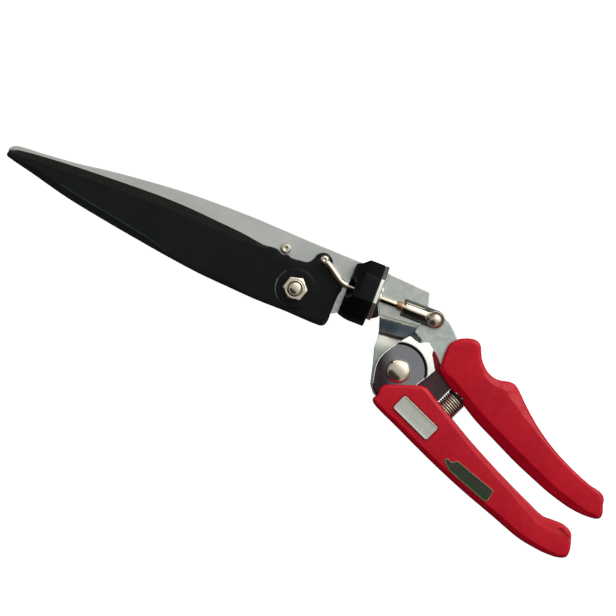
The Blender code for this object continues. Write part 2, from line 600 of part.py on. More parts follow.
# ------------------------------------------------------------------ lower grip
# (x, y)
lower_outline = [
    (-5.4, -11.6), (-4.4, -9.0), (-1.4, -7.4), (6.0, -4.8), (13.0, -2.5), (16.0, -3.0),
    (22.0, -6.6), (32.0, -12.1), (43.5, -18.6), (54.2, -24.1), (65.9, -29.8),
    (78.3, -35.4), (88.0, -39.4), (93.8, -39.5), (99.0, -39.8), (102.6, -41.6),
    (104.2, -45.0), (105.4, -50.0), (104.8, -53.4), (101.6, -54.9), (97.7, -55.1),
    (91.4, -54.5), (80.8, -52.0), (66.9, -47.0), (48.9, -41.1), (33.6, -35.4),
    (19.6, -29.9), (7.9, -24.6), (-2.6, -20.0), (-5.8, -18.0), (-6.4, -16.2),
    (-5.4, -14.4)]
lower_grip = prism("lower_grip", spline(lower_outline), GRIP_Z0, GRIP_Z1,
                   GRIP_RED, GRIP_EDGE)
pocket(lower_grip, "frame_pocket", pivot_area, REAR_Z0, REAR_Z1)
pocket(lower_grip, "cheek_pocket", cheek_outline, CHEEK_Z0, CHEEK_Z1)
combine(lower_grip, "cut_lever_slot", prism_solid(
    [(-14.0, -13.5), (11.5, -13.5), (19.0, -10.2), (25.5, -6.6), (27.0, 6.0),
     (-14.0, 6.0)], REAR_Z0 + 0.5, CHEEK_Z0 + 0.5))
bore(lower_grip, "core_pocket", (*CORE_RIVET, 0.6), ALONG_Z, 9.4, 2.8, 16)


# ------------------------------------------------- return spring and its seats
def along_spring(distance):
    return Vector(SPRING_CENTRE) + SPRING_DIR * distance


# spot faces and stem holes: grip, tag, start, length, radius, sides
for grip, tag, start, length, radius, sides in (
        (upper_grip, "spot_up", 2.6, 2.7, 5.4, 28),
        (lower_grip, "spot_low", -5.8, 3.2, 5.4, 28),
        (upper_grip, "stem_up", 4.0, 3.6, 1.6, 16),
        (lower_grip, "stem_low", -9.4, 5.0, 1.6, 16)):
    bore(grip, tag, along_spring(start), SPRING_DIR, length, radius, sides)

turned("spring_seat_lower", [
    (1.1, -9.1), (1.4, -8.8), (1.4, -5.7), (3.3, SHOULDER_LOW), (3.3, -3.4), (2.8, -2.9)],
    SPRING_CENTRE, SPRING_DIR, NICKEL, 18)
turned("spring_seat_upper", [
    (2.8, 2.6), (3.3, 3.1), (3.3, 5.0), (1.4, SHOULDER_HIGH), (1.4, 7.0), (1.1, 7.3)],
    SPRING_CENTRE, SPRING_DIR, NICKEL, 18)

WIRE_R = 0.45
COIL_GAP = 0.1                 # from the end coils to the shoulder planes
coil_spring("return_spring", along_spring(SHOULDER_LOW + WIRE_R + COIL_GAP),
            along_spring(SHOULDER_HIGH - WIRE_R - COIL_GAP),
            across=SPRING_DIR.cross(Vector(ALONG_Z)), coil_radius=4.6,
            wire_radius=WIRE_R, turns=8, steps=14)

# -------------------------------------------- badge and label on the lower grip
LABEL_Z0 = GRIP_Z1 + 0.05
prism("badge_plate", rounded_rectangle((15.3, -17.6), 22.0, 8.3, 1.3, -23.7),
      LABEL_Z0, GRIP_Z1 + 0.5, BADGE_SILVER)
prism("name_label", rounded_rectangle((48.4, -35.2), 28.0, 6.6, 0.8, -19.5),
      LABEL_Z0, GRIP_Z1 + 0.25, LABEL_GREEN)
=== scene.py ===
"""Looks of a pair of grass shears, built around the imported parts.

The shears lie flat with +Z up. The blades point to -X, the grips run to +X and
-Y, and the main rivet stands on the origin. Dimensions are millimetres in the
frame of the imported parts; meshes are written in metres.
"""

import math
from types import SimpleNamespace

import bmesh
import bpy
import numpy as np
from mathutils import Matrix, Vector
from mathutils.geometry import delaunay_2d_cdt


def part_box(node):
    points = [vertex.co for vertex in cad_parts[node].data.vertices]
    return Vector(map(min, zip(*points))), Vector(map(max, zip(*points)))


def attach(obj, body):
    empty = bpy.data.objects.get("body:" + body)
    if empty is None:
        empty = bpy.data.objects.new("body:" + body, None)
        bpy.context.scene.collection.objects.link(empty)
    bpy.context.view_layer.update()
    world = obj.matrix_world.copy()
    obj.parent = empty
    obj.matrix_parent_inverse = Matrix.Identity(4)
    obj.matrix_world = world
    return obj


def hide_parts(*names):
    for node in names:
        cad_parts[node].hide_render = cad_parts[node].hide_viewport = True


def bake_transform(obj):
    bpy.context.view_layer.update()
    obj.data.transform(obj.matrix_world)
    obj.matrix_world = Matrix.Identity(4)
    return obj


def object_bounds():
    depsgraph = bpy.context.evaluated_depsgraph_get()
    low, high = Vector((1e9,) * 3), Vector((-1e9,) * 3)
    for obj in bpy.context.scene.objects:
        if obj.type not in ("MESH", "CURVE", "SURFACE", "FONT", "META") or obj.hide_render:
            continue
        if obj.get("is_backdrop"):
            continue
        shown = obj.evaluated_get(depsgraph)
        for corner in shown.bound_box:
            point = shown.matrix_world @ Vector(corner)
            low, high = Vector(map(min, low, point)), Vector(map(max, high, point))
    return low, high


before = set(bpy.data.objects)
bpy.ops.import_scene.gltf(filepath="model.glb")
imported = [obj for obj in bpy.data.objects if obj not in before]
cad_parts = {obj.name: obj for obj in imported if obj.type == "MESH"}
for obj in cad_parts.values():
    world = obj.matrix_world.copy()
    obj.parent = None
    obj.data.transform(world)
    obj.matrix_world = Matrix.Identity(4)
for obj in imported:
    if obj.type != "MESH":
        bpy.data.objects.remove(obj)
CAD_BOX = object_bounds()
MM = 0.001
UP, ALONG_X = (0, 0, 1), (1, 0, 0)


def span(node):
    """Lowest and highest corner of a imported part, in millimetres."""
    low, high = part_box(node)
    return low / MM, high / MM


def centre(node):
    low, high = span(node)
    return (low + high) / 2


# =============================================================== plane geometry
def unit(vector):
    length = np.linalg.norm(vector, axis=-1, keepdims=True)
    return vector / np.maximum(length, 1e-9)


def ccw(loop):
    """The loop as an array that runs counter-clockwise."""
    loop = np.asarray(loop, float)
    x, y = loop[:, 0], loop[:, 1]
    area = 0.5 * float(np.sum(x * np.roll(y, -1) - np.roll(x, -1) * y))
    return loop if area > 0 else loop[::-1].copy()


def hermite(start, end, start_slope, end_slope, t):
    return ((2 * t**3 - 3 * t**2 + 1) * start + (t**3 - 2 * t**2 + t) * start_slope
            + (-2 * t**3 + 3 * t**2) * end + (t**3 - t**2) * end_slope)


def spline(table, step, plain=(), corners=()):
    """Closed smooth loop through a table, and its values at every point.

    Rows are x, y and further values, which are plain where the row has none.
    corners are the rows that stay sharp. Returns the loop and one array for
    each value.
    """
    count = len(table)
    points = [np.array(row[:2], float) for row in table]
    given = [np.array(row[2:] or plain, float) for row in table]
    loop, values = [], []
    for i in range(count):
        follow = (i + 1) % count
        start, end = points[i], points[follow]
        length = np.linalg.norm(end - start)
        sharp, next_sharp = i in corners, follow in corners
        slope = np.zeros(2) if sharp else unit(end - points[i - 1]) * length
        next_slope = (np.zeros(2) if next_sharp
                      else unit(points[(i + 2) % count] - start) * length)
        pieces = max(1, int(math.ceil(length / step)))
        for k in range(pieces):
            t = k / pieces
            if sharp and next_sharp:
                loop.append(start + (end - start) * t)
            else:
                loop.append(hermite(start, end, slope, next_slope, t))
            share = t * t * (3 - 2 * t)
            values.append(given[i] * (1 - share) + given[follow] * share)
    loop, values = np.array(loop), np.array(values)
    turned = ccw(loop)
    if turned is not loop:
        values = values[::-1]
    return (turned, *values.T)


def catmull(points, step):
    """Open smooth curve through points, cut at about step."""
    points = [np.array(point, float) for point in points]
    last = len(points) - 1
    curve = []
    for i in range(last):
        start, end = points[i], points[i + 1]
        length = np.linalg.norm(end - start)
        slope = unit(end - points[max(0, i - 1)]) * length
        next_slope = unit(points[min(last, i + 2)] - start) * length
        pieces = max(1, int(math.ceil(length / step)))
        curve += [hermite(start, end, slope, next_slope, k / pieces) for k in range(pieces)]
    curve.append(points[-1])
    return np.array(curve)


def corner_arc(before, corner, after, radius, arc):
    """Points of the arc that rounds a corner, or the corner if it stays."""
    back, ahead = unit(before - corner), unit(after - corner)
    half = math.acos(float(np.clip(back @ ahead, -1, 1))) / 2
    if radius <= 0 or half > 1.54 or half < 0.02:
        return [corner]
    cut = min(radius / math.tan(half), 0.46 * np.linalg.norm(before - corner),
              0.46 * np.linalg.norm(after - corner))
    radius = cut * math.tan(half)
    middle = corner + unit(back + ahead) * (radius / math.sin(half))
    start, end = corner + back * cut - middle, corner + ahead * cut - middle
    first = math.atan2(start[1], start[0])
    turn = (math.atan2(end[1], end[0]) - first + math.pi) % (2 * math.pi) - math.pi
    angles = [first + turn * k / arc for k in range(arc + 1)]
    return [middle + radius * np.array([math.cos(t), math.sin(t)]) for t in angles]


def round_corners(points, radius, arc=5, closed=True):
    """Round the corners of a polygon. A third entry is a corner's own radius."""
    corners = [np.array(point[:2], float) for point in points]
    count = len(points)
    rounded = []
    for i, point in enumerate(points):
        if not closed and i in (0, count - 1):
            rounded.append(corners[i])
            continue
        rounded += corner_arc(corners[i - 1], corners[i], corners[(i + 1) % count],
                              point[2] if len(point) > 2 else radius, arc)
    return rounded


def dense(loop, step):
    """The loop with its sides cut into pieces no longer than step."""
    cut = []
    for start, end in zip(loop, np.roll(loop, -1, 0)):
        pieces = max(1, int(math.ceil(np.linalg.norm(end - start) / step)))
        cut += [start + (end - start) * k / pieces for k in range(pieces)]
    return np.array(cut)


def fillet(points, radius, step=0.6):
    return ccw(dense(np.array(round_corners(points, radius)), step))


def rounded(profile, radius=0.2):
    """Profile with its inner corners rounded, ends kept."""
    return round_corners(profile, radius, arc=3, closed=False)


def circle(middle, radius, sides):
    angles = 2 * math.pi * np.arange(sides) / sides
    return np.stack([middle[0] + radius * np.cos(angles),
                     middle[1] + radius * np.sin(angles)], 1)


def arc_points(x, y, radius_x, radius_y, degrees):
    return [(x + radius_x * math.cos(t), y + radius_y * math.sin(t))
            for t in map(math.radians, degrees)]


# A turned rounded rectangle is (centre x, centre y, width, height, radius, degrees).
def rounded_rect(rect, grow, arc, step):
    mid_x, mid_y, width, height, radius, turn = rect
    width, height, radius = width + 2 * grow, height + 2 * grow, radius + grow
    cos, sin = math.cos(math.radians(turn)), math.sin(math.radians(turn))
    points = []
    for side_x, side_y, start in ((1, 1, 0), (-1, 1, 90), (-1, -1, 180), (1, -1, 270)):
        for i in range(arc + 1):
            angle = math.radians(start + 90 * i / arc)
            x = side_x * (width / 2 - radius) + radius * math.cos(angle)
            y = side_y * (height / 2 - radius) + radius * math.sin(angle)
            points.append((mid_x + x * cos - y * sin, mid_y + x * sin + y * cos))
    return dense(np.array(points), step)


def rect_distance(at, rect):
    """Signed distance to a turned rounded rectangle, negative inside."""
    mid_x, mid_y, width, height, radius, turn = rect
    cos, sin = math.cos(math.radians(turn)), math.sin(math.radians(turn))
    x, y = at.x - mid_x, at.y - mid_y
    over_x = np.abs(x * cos + y * sin) - (width / 2 - radius)
    over_y = np.abs(-x * sin + y * cos) - (height / 2 - radius)
    return (np.hypot(np.maximum(over_x, 0), np.maximum(over_y, 0))
            + np.minimum(np.maximum(over_x, over_y), 0)) - radius


def nearest(points, loop):
    """Distance from each point to a closed loop and the place along it."""
    side = np.roll(loop, -1, 0) - loop
    square = np.maximum((side**2).sum(1), 1e-12)
    distance, place = np.empty(len(points)), np.empty(len(points))
    for start in range(0, len(points), 2000):
        part = slice(start, start + 2000)
        offset = points[part, None, :] - loop[None]
        share = np.clip((offset * side).sum(2) / square, 0, 1)
        gap = np.linalg.norm(offset - share[..., None] * side, axis=2)
        best = gap.argmin(1)
        row = np.arange(len(best))
        distance[part] = gap[row, best]
        place[part] = best + share[row, best]
    return distance, place


def inside(points, loop):
    x, y = points[:, 0][:, None], points[:, 1][:, None]
    start, end = loop, np.roll(loop, -1, 0)
    crosses = (start[:, 1] > y) != (end[:, 1] > y)
    with np.errstate(divide="ignore", invalid="ignore"):
        crossing = ((end[:, 0] - start[:, 0]) * (y - start[:, 1])
                    / (end[:, 1] - start[:, 1]) + start[:, 0])
    return (np.sum(crosses & (x < crossing), 1) % 2) == 1


def along(values, place):
    """Values given per loop point, read at fractional places."""
    count = len(values)
    i = np.floor(place).astype(int) % count
    share = place - np.floor(place)
    return values[i] * (1 - share) + values[(i + 1) % count] * share


def edge_round(distance, radius):
    """How far a rounded rim lies below the face at a distance from it."""
    x = np.clip(radius - distance, 0, radius)
    return radius - np.sqrt(np.maximum(radius * radius - x * x, 0))


def soft(x, knee):
    """max(x, 0) with a rounded knee."""
    return 0.5 * (x + np.sqrt(x * x + knee * knee)) - 0.5 * knee * np.exp(-np.abs(x) / knee)


def smooth(start, end, x):
    t = np.clip((x - start) / (end - start), 0, 1)
    return t * t * (3 - 2 * t)


def slant(x, y):
    """Distance across the line at which the round steps change."""
    return 0.934 * x + 0.358 * y


def upper_face(height, edge=0.0, hole=0.0):
    """Level upper face; edge and hole are the radii of its rims."""
    return lambda at: height - edge_round(at.edge, edge) - edge_round(at.hole, hole)


def lower_face(height, edge=0.0, hole=0.0):
    return lambda at: height + edge_round(at.edge, edge) + edge_round(at.hole, hole)


# ================================================================= mesh writing
FINISH = {}


def shade(ob, angle):
    ob.data.shade_smooth()
    ob.data.set_sharp_from_angle(angle=math.radians(angle))


def make_object(name, verts, faces, finish, index=None, angle=32):
    """Object from millimetre points. finish lists its material slots as keys
    of FINISH, and index gives the slot of each face."""
    mesh = bpy.data.meshes.new(name)
    mesh.from_pydata([tuple(v) for v in (np.asarray(verts, float) * MM)], [], faces)
    bm = bmesh.new()
    bm.from_mesh(mesh)
    bmesh.ops.remove_doubles(bm, verts=bm.verts, dist=1e-7)
    bmesh.ops.recalc_face_normals(bm, faces=bm.faces)
    bm.to_mesh(mesh)
    bm.free()
    for key in finish.split():
        mesh.materials.append(FINISH[key])
    # merging doubles can drop faces, and then the list no longer fits
    if index is not None and len(index) == len(mesh.polygons):
        mesh.polygons.foreach_set("material_index", np.array(index, np.int32))
    ob = bpy.data.objects.new(name, mesh)
    bpy.context.scene.collection.objects.link(ob)
    shade(ob, angle)
    return ob


def field(name, outline, top, bottom, finish, holes=(), rows=(0.07, 0.2, 0.45, 0.9),
          width=None, ratios=(), lines=(), grid=2.2, wall=(), face_slot=None, angle=32):
    """A plate whose upper and lower faces are height functions.

    top, bottom and face_slot take places with x, y, edge (distance to the
    outline), place (along the outline) and hole (distance to a hole). rows are
    distances inside the outline that get points; ratios do the same in shares
    of width. lines are extra loops the mesh follows. wall is a list of (share
    of height, inset).
    """
    outline = ccw(outline)
    points, edges, taken = [], [], {}

    def locate(where):
        edge, place = nearest(where, outline)
        hole = np.full(len(where), 99.0)
        for loop in holes:
            hole = np.minimum(hole, nearest(where, loop)[0])
        return SimpleNamespace(x=where[:, 0], y=where[:, 1], edge=edge, place=place, hole=hole)

    def in_plate(where):
        ok = inside(where, outline)
        for loop in holes:
            ok &= ~inside(where, loop)
        return ok

    def clear(where, margin):
        at = locate(where)
        return in_plate(where) & (at.edge > margin) & (at.hole > margin)

    def free(point, radius):
        x, y = math.floor(point[0]), math.floor(point[1])
        return not any((near[0] - point[0])**2 + (near[1] - point[1])**2 < radius * radius
                       for i in (-1, 0, 1) for j in (-1, 0, 1)
                       for near in taken.get((x + i, y + j), ()))

    def take(point):
        taken.setdefault((math.floor(point[0]), math.floor(point[1])), []).append(point)
        points.append((float(point[0]), float(point[1])))
        return len(points) - 1

    for loop in (outline, *holes):
        ids = [take(point) for point in loop]
        edges += zip(ids, ids[1:] + ids[:1])
    for line in lines:
        line = np.asarray(line, float)
        ids = [take(point) if ok else None for point, ok in zip(line, clear(line, 0.06))]
        edges += [(a, b) for a, b in zip(ids, ids[1:] + ids[:1])
                  if a is not None and b is not None]

    # rows of points beside the outline and the holes: loop, side, distances, gap
    jobs = [(outline, 1.0, np.full(len(outline), row), row) for row in rows]
    if width is not None:
        jobs += [(outline, 1.0, ratio * width, ratio * float(np.mean(width)))
                 for ratio in ratios]
    jobs += [(loop, -1.0, np.full(len(loop), row), row) for loop in holes for row in rows]
    gaps = {job[3] for job in jobs}
    for loop, side, distance, gap in jobs:
        tangent = unit(np.roll(loop, -1, 0) - np.roll(loop, 1, 0))
        normal = np.stack([-tangent[:, 1], tangent[:, 0]], 1) * side
        offset = loop + normal * distance[:, None]
        ok = clear(offset, 0.03) & (nearest(offset, loop)[0] > distance - 0.05)
        step = np.median(np.linalg.norm(np.roll(loop, -1, 0) - loop, axis=1))
        near = min([abs(gap - g) for g in gaps if abs(gap - g) > 1e-6] + [gap, step])
        for point in offset[ok]:
            if free(point, 0.45 * near):
                take(point)

    low, high = outline.min(0), outline.max(0)
    lattice = np.array([(x + (0.5 * grid if j % 2 else 0), y)
                        for j, y in enumerate(np.arange(low[1], high[1], grid * 0.866))
                        for x in np.arange(low[0], high[0], grid)])
    for point in lattice[clear(lattice, 0.5 * grid)]:
        if free(point, 0.6 * min(grid, 1.6)):
            take(point)

    result = delaunay_2d_cdt([Vector(point) for point in points], edges, [], 1, 1e-5, False)
    plan = np.array([(v[0], v[1]) for v in result[0]])
    triangles = np.array([tuple(face) for face in result[2]])
    triangles = triangles[in_plate(plan[triangles].mean(1))]
    used, triangles = np.unique(triangles, return_inverse=True)
    triangles = triangles.reshape(-1, 3)
    plan = plan[used]
    middles = plan[triangles].mean(1)
    triangles = triangles.tolist()

    at = locate(plan)
    high, low = top(at), bottom(at)
    count = len(plan)
    verts = [*zip(at.x, at.y, high), *zip(at.x, at.y, low)]
    faces = []
    for a, b, c in triangles:
        faces += [(a, b, c), (count + c, count + b, count + a)]
    index = [0] * len(faces)
    if face_slot is not None:
        index = np.repeat(face_slot(locate(middles)), 2).tolist()

    # the wall hangs from the edges that only one triangle uses
    sides = dict.fromkeys(e for a, b, c in triangles for e in ((a, b), (b, c), (c, a)))
    rim = [e for e in sides if (e[1], e[0]) not in sides]
    inward, columns = {}, {}
    for a, b in rim:
        run = plan[b] - plan[a]
        normal = np.array([-run[1], run[0]]) / max(np.linalg.norm(run), 1e-9)
        for v in (a, b):
            inward[v] = inward.get(v, np.zeros(2)) + normal

    def column(v):
        if v not in columns:
            normal = unit(inward[v])
            columns[v] = [v, *range(len(verts), len(verts) + len(wall)), count + v]
            for share, inset in wall:
                verts.append((plan[v][0] + normal[0] * inset, plan[v][1] + normal[1] * inset,
                              high[v] * (1 - share) + low[v] * share))
        return columns[v]

    for a, b in rim:
        left, right = column(a), column(b)
        for i in range(len(left) - 1):
            faces.append((left[i], left[i + 1], right[i + 1], right[i]))
            index.append(0)
    return make_object(name, verts, faces, finish, index, angle)


def skin(rings, closed):
    """Points and faces through equal rings; closed joins last ring to first."""
    count, total = len(rings[0]), len(rings)
    faces = []
    for k in range(total if closed else total - 1):
        a, b = k * count, ((k + 1) % total) * count
        for i in range(count):
            j = (i + 1) % count
            faces.append((a + i, a + j, b + j, b + i))
    if not closed:
        faces.append(tuple(reversed(range(count))))
        faces.append(tuple(range((total - 1) * count, total * count)))
    return [tuple(point) for ring in rings for point in ring], faces


def loft(name, rings, finish, angle=32, closed=False):
    verts, faces = skin(rings, closed)
    return make_object(name, verts, faces, finish, angle=angle)


def around(count):
    return [2 * math.pi * i / count for i in range(count)]


def revolve(name, profile, finish, base=(0, 0, 0), axis=UP, sides=64, closed=False):
    """Solid of revolution. profile is (radius, height); closed means the
    profile is a loop away from the axis, otherwise its ends are capped."""
    base, axis = Vector(base), Vector(axis).normalized()
    across = Vector(ALONG_X) if abs(axis.z) > 0.9 else axis.orthogonal().normalized()
    beside = axis.cross(across)
    rings = [[base + axis * height + (across * math.cos(t) + beside * math.sin(t)) * radius
              for t in around(sides)] for radius, height in profile]
    verts, faces = skin(rings, closed)
    return make_object(name, verts, faces, finish, [0] * len(faces))


def sweep(name, path, radii, finish, sides):
    """Round wire along a path with one radius per point."""
    path = [Vector(point) for point in path]
    across = None
    rings = []
    for i, point in enumerate(path):
        run = (path[min(len(path) - 1, i + 1)] - path[max(0, i - 1)]).normalized()
        if across is None:
            across = run.orthogonal().normalized()
        else:
            across = (across - run * across.dot(run)).normalized()
        beside = run.cross(across)
        rings.append([point + (across * math.cos(t) + beside * math.sin(t)) * radii[i]
                      for t in around(sides)])
    return loft(name, rings, finish, angle=40)


def merge(ob, *tools, operation="DIFFERENCE", angle=32):
    """Apply a Boolean with each tool object and remove the tool."""
    for tool in tools:
        modifier = ob.modifiers.new("cut", "BOOLEAN")
        modifier.operation = operation
        modifier.solver = "EXACT"
        modifier.object = tool
        bpy.context.view_layer.update()
        with bpy.context.temp_override(object=ob, active_object=ob, selected_objects=[ob]):
            bpy.ops.object.modifier_apply(modifier=modifier.name)
        mesh = tool.data
        bpy.data.objects.remove(tool)
        bpy.data.meshes.remove(mesh)
    shade(ob, angle)


def prism(outline, low, high):
    """Upright tool with the given outline."""
    outline = ccw(outline)
    return loft("tool", [[(x, y, z) for x, y in outline] for z in (low, high)], "block")


def rod_tool(start, end, y, z, radius, sides=40):
    """Round tool that lies along X."""
    return loft("tool", [[(x, y + radius * math.cos(t), z + radius * math.sin(t))
                          for t in around(sides)] for x in (start, end)], "block")


def place(ob, body, slot, node):
    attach(ob, body)
    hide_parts(node)


# ==================================================================== materials
def srgb(*colour):
    """Linear RGBA of an sRGB triple given in 0 to 255."""
    def linear(c):
        c /= 255.0
        return c / 12.92 if c <= 0.04045 else ((c + 0.055) / 1.055) ** 2.4
    return (*map(linear, colour), 1.0)


def add_node(tree, kind, inputs=None, **props):
    """Shader node; inputs are sockets to link or plain values."""
    node = tree.nodes.new(kind)
    for key, value in props.items():
        setattr(node, key, value)
    for key, value in (inputs or {}).items():
        if hasattr(value, "is_output"):
            tree.links.new(value, node.inputs[key])
        else:
            node.inputs[key].default_value = value
    return node


class Look:
    """Builds one node material. Colours are sRGB triples or sockets."""

    def __init__(self, name, **inputs):
        self.material = bpy.data.materials.new(name)
        self.material.use_nodes = True
        self.tree = self.material.node_tree
        self.base = self.tree.nodes["Principled BSDF"]
        for key, value in inputs.items():
            self.base.inputs[key.replace("_", " ")].default_value = value
        self.place = self.node("ShaderNodeTexCoord").outputs["Object"]
        self.normal = None

    def node(self, kind, inputs=None, **props):
        return add_node(self.tree, kind, inputs, **props)

    def noise(self, size, detail=3.0, roughness=0.55, stretch=(1, 1, 1), distortion=0.0):
        """Noise whose features are about size millimetres."""
        scale = 1.0 / (size * MM)
        mapping = self.node("ShaderNodeMapping", {
            "Vector": self.place, "Scale": [scale / k for k in stretch]})
        return self.node("ShaderNodeTexNoise", {
            "Vector": mapping.outputs[0], "Scale": 1.0, "Detail": detail,
            "Roughness": roughness, "Distortion": distortion}).outputs["Fac"]

    def ramp(self, value, stops):
        node = self.node("ShaderNodeValToRGB", {"Fac": value})
        elements = node.color_ramp.elements
        while len(elements) < len(stops):
            elements.new(0.5)
        for element, (position, colour) in zip(elements, stops):
            element.position = position
            element.color = colour
        return node.outputs["Color"]

    def remap(self, value, between, to=(0.0, 1.0), kind="LINEAR"):
        return self.node("ShaderNodeMapRange", {
            "Value": value, "From Min": between[0], "From Max": between[1],
            "To Min": to[0], "To Max": to[1]}, interpolation_type=kind).outputs["Result"]

    def math(self, operation, first, second):
        return self.node("ShaderNodeMath", {0: first, 1: second},
                         operation=operation).outputs[0]

    def vector(self, operation, first, second=None, output="Vector"):
        inputs = {0: first} if second is None else {0: first, 1: second}
        return self.node("ShaderNodeVectorMath", inputs,
                         operation=operation).outputs[output]

    def weigh(self, first, second, share):
        """Sum of two values, share of the first and the rest of the second."""
        return self.math("ADD", self.math("MULTIPLY", first, share),
                         self.math("MULTIPLY", second, 1 - share))

    def mix(self, amount, under, over, mode="MIX"):
        under, over = (srgb(*c) if isinstance(c, tuple) else c for c in (under, over))
        return self.node("ShaderNodeMixRGB", {"Fac": amount, "Color1": under,
                                              "Color2": over}, blend_type=mode).outputs["Color"]

    def tint(self, under, over, value, between=(0.35, 0.7), most=1.0):
        """Lay one colour over another as value rises."""
        return self.mix(self.remap(value, between, (0, most)), under, over)

    def wear(self, under, over, amount, between=(0.505, 0.56)):
        """Lay a colour on the raised edges; between is their pointiness."""
        pointed = self.node("ShaderNodeNewGeometry").outputs["Pointiness"]
        mask = self.remap(pointed, between, kind="SMOOTHSTEP")
        return self.mix(self.math("MULTIPLY", mask, amount), under, over)

    def axis(self, direction, offset=0.0):
        """Millimetres along direction, plus offset."""
        dot = self.vector("DOT_PRODUCT", self.place, [v / MM for v in direction], "Value")
        return self.math("ADD", dot, offset)

    def bump(self, height, depth, strength=1.0):
        """Relief of depth millimetres, laid on the relief before it."""
        inputs = {"Height": height, "Distance": depth * MM, "Strength": strength}
        if self.normal is not None:
            inputs["Normal"] = self.normal
        self.normal = self.node("ShaderNodeBump", inputs).outputs["Normal"]
        self.feed("Normal", self.normal)

    def feed(self, key, value):
        self.tree.links.new(value, self.base.inputs[key])

    def source(self, key):
        return self.base.inputs[key].links[0].from_socket

    def colour(self, value):
        self.feed("Base Color", value)

    def rough(self, value):
        self.feed("Roughness", value)

    def cover(self, mask, colour):
        self.colour(self.mix(mask, self.source("Base Color"), colour))

    def dull(self, mask, amount):
        self.rough(self.math("ADD", self.source("Roughness"),
                             self.math("MULTIPLY", mask, amount)))


def plastic(name, face, dark, bright, rough=0.42):
    look = Look(name, Specular_IOR_Level=0.2)
    broad = look.noise(size=24)
    middle = look.noise(size=3.2, detail=4)
    fine = look.noise(size=0.35, detail=2)
    base = look.tint(face, dark, broad)
    base = look.tint(base, bright, middle, between=(0.45, 0.75), most=0.22)
    look.colour(look.wear(base, bright, amount=0.35, between=(0.51, 0.60)))
    look.rough(look.remap(look.weigh(middle, fine, share=0.6), between=(0.3, 0.7),
                          to=(rough - 0.05, rough + 0.09)))
    look.bump(fine, depth=0.006)
    look.bump(middle, depth=0.03, strength=0.5)
    return look.material


def metal(name, light, dark, mottle, rough=0.3, streak=None, fine=0.5, wear=0.3,
          grain=0.004, spots=None, metallic=1.0):
    """Mottled metal. mottle is (size, contrast), streak a stretch of the
    noise, fine and grain the size and depth of the grain, spots (amount, colour)."""
    look = Look(name, Metallic=metallic)
    size, contrast = mottle
    patches = look.noise(size, detail=4, roughness=0.6, distortion=0.6)
    base = look.tint(dark, light, patches, between=(0.5 - 0.11 / contrast,
                                                    0.5 + 0.11 / contrast))
    roughness = look.remap(patches, between=(0.3, 0.7), to=(rough + 0.04, rough - 0.04))
    if streak:
        narrow = look.noise(size=0.30, roughness=0.6, stretch=streak)
        wide = look.noise(size=1.6, detail=2, roughness=0.5, stretch=streak)
        both = look.weigh(narrow, wide, share=0.6)
        base = look.tint(base, dark, both, between=(0.38, 0.62), most=0.5)
        roughness = look.math("ADD", roughness,
                              look.remap(both, between=(0.35, 0.65), to=(-0.05, 0.08)))
        look.bump(narrow, depth=grain * 1.2)
    grains = look.noise(fine)
    if spots:
        amount, colour = spots
        base = look.tint(base, colour, look.noise(size=2.4, detail=5, roughness=0.7),
                         between=(0.60, 0.72), most=amount)
    look.colour(look.wear(base, light, wear))
    look.rough(look.math("ADD", roughness,
                         look.remap(grains, between=(0.3, 0.7), to=(-0.03, 0.04))))
    look.bump(grains, grain)
    return look


def film(name, first, second, rough, top=0.7, specular=0.3, relief=True, **noise):
    """Thin layer of two mottled colours; rough is the range of roughness and
    top the noise at which the second colour is full."""
    look = Look(name, Specular_IOR_Level=specular)
    patches = look.noise(**noise)
    look.colour(look.tint(first, second, patches, between=(0.35, top)))
    look.rough(look.remap(patches, between=(0.3, 0.7), to=rough))
    if relief:
        look.bump(look.noise(size=0.3, detail=2), depth=0.003)
    return look.material


def black_coat():
    look = Look("black_coating", Specular_IOR_Level=0.14)
    broad = look.noise(size=38)
    middle = look.noise(size=2.6, detail=4)
    fine = look.noise(size=0.22, detail=2)
    base = look.tint((13, 16, 17), (8, 9, 10), broad)
    scratch = look.noise(size=0.9, detail=4, roughness=0.7, stretch=(14, 1, 1))
    base = look.tint(base, (32, 35, 38), scratch, between=(0.66, 0.74), most=0.30)
    look.colour(look.wear(base, (66, 70, 78), amount=0.45, between=(0.52, 0.62)))
    look.rough(look.remap(look.weigh(middle, fine, share=0.5), between=(0.35, 0.65),
                          to=(0.30, 0.44)))
    look.bump(fine, depth=0.005)
    look.bump(middle, depth=0.02, strength=0.5)
    return look.material


def ground_black():
    """The ground strip along the cutting edge of the coated blade."""
    look = Look("ground_strip", Specular_IOR_Level=0.08)
    streaks = look.noise(size=0.5, roughness=0.6, stretch=(1, 12, 1))
    broad = look.noise(size=16)
    base = look.tint((17, 17, 15), (12, 12, 11), streaks, between=(0.35, 0.65))
    base = look.tint(base, (22, 20, 16), broad, between=(0.4, 0.7), most=0.6)
    look.colour(look.wear(base, (90, 92, 92), amount=0.5, between=(0.52, 0.6)))
    look.rough(look.remap(streaks, between=(0.3, 0.7), to=(0.30, 0.46)))
    look.bump(streaks, depth=0.006)
    return look.material


def block_black():
    look = Look("cast_black", Specular_IOR_Level=0.09)
    middle, fine = look.noise(size=3.0, detail=4), look.noise(size=0.4)
    base = look.tint((9, 11, 11), (5, 5, 7), middle)
    look.colour(look.wear(base, (52, 56, 68), amount=0.35, between=(0.51, 0.6)))
    look.rough(look.remap(fine, between=(0.3, 0.7), to=(0.34, 0.50)))
    look.bump(fine, depth=0.012)
    look.bump(middle, depth=0.04, strength=0.4)
    return look.material


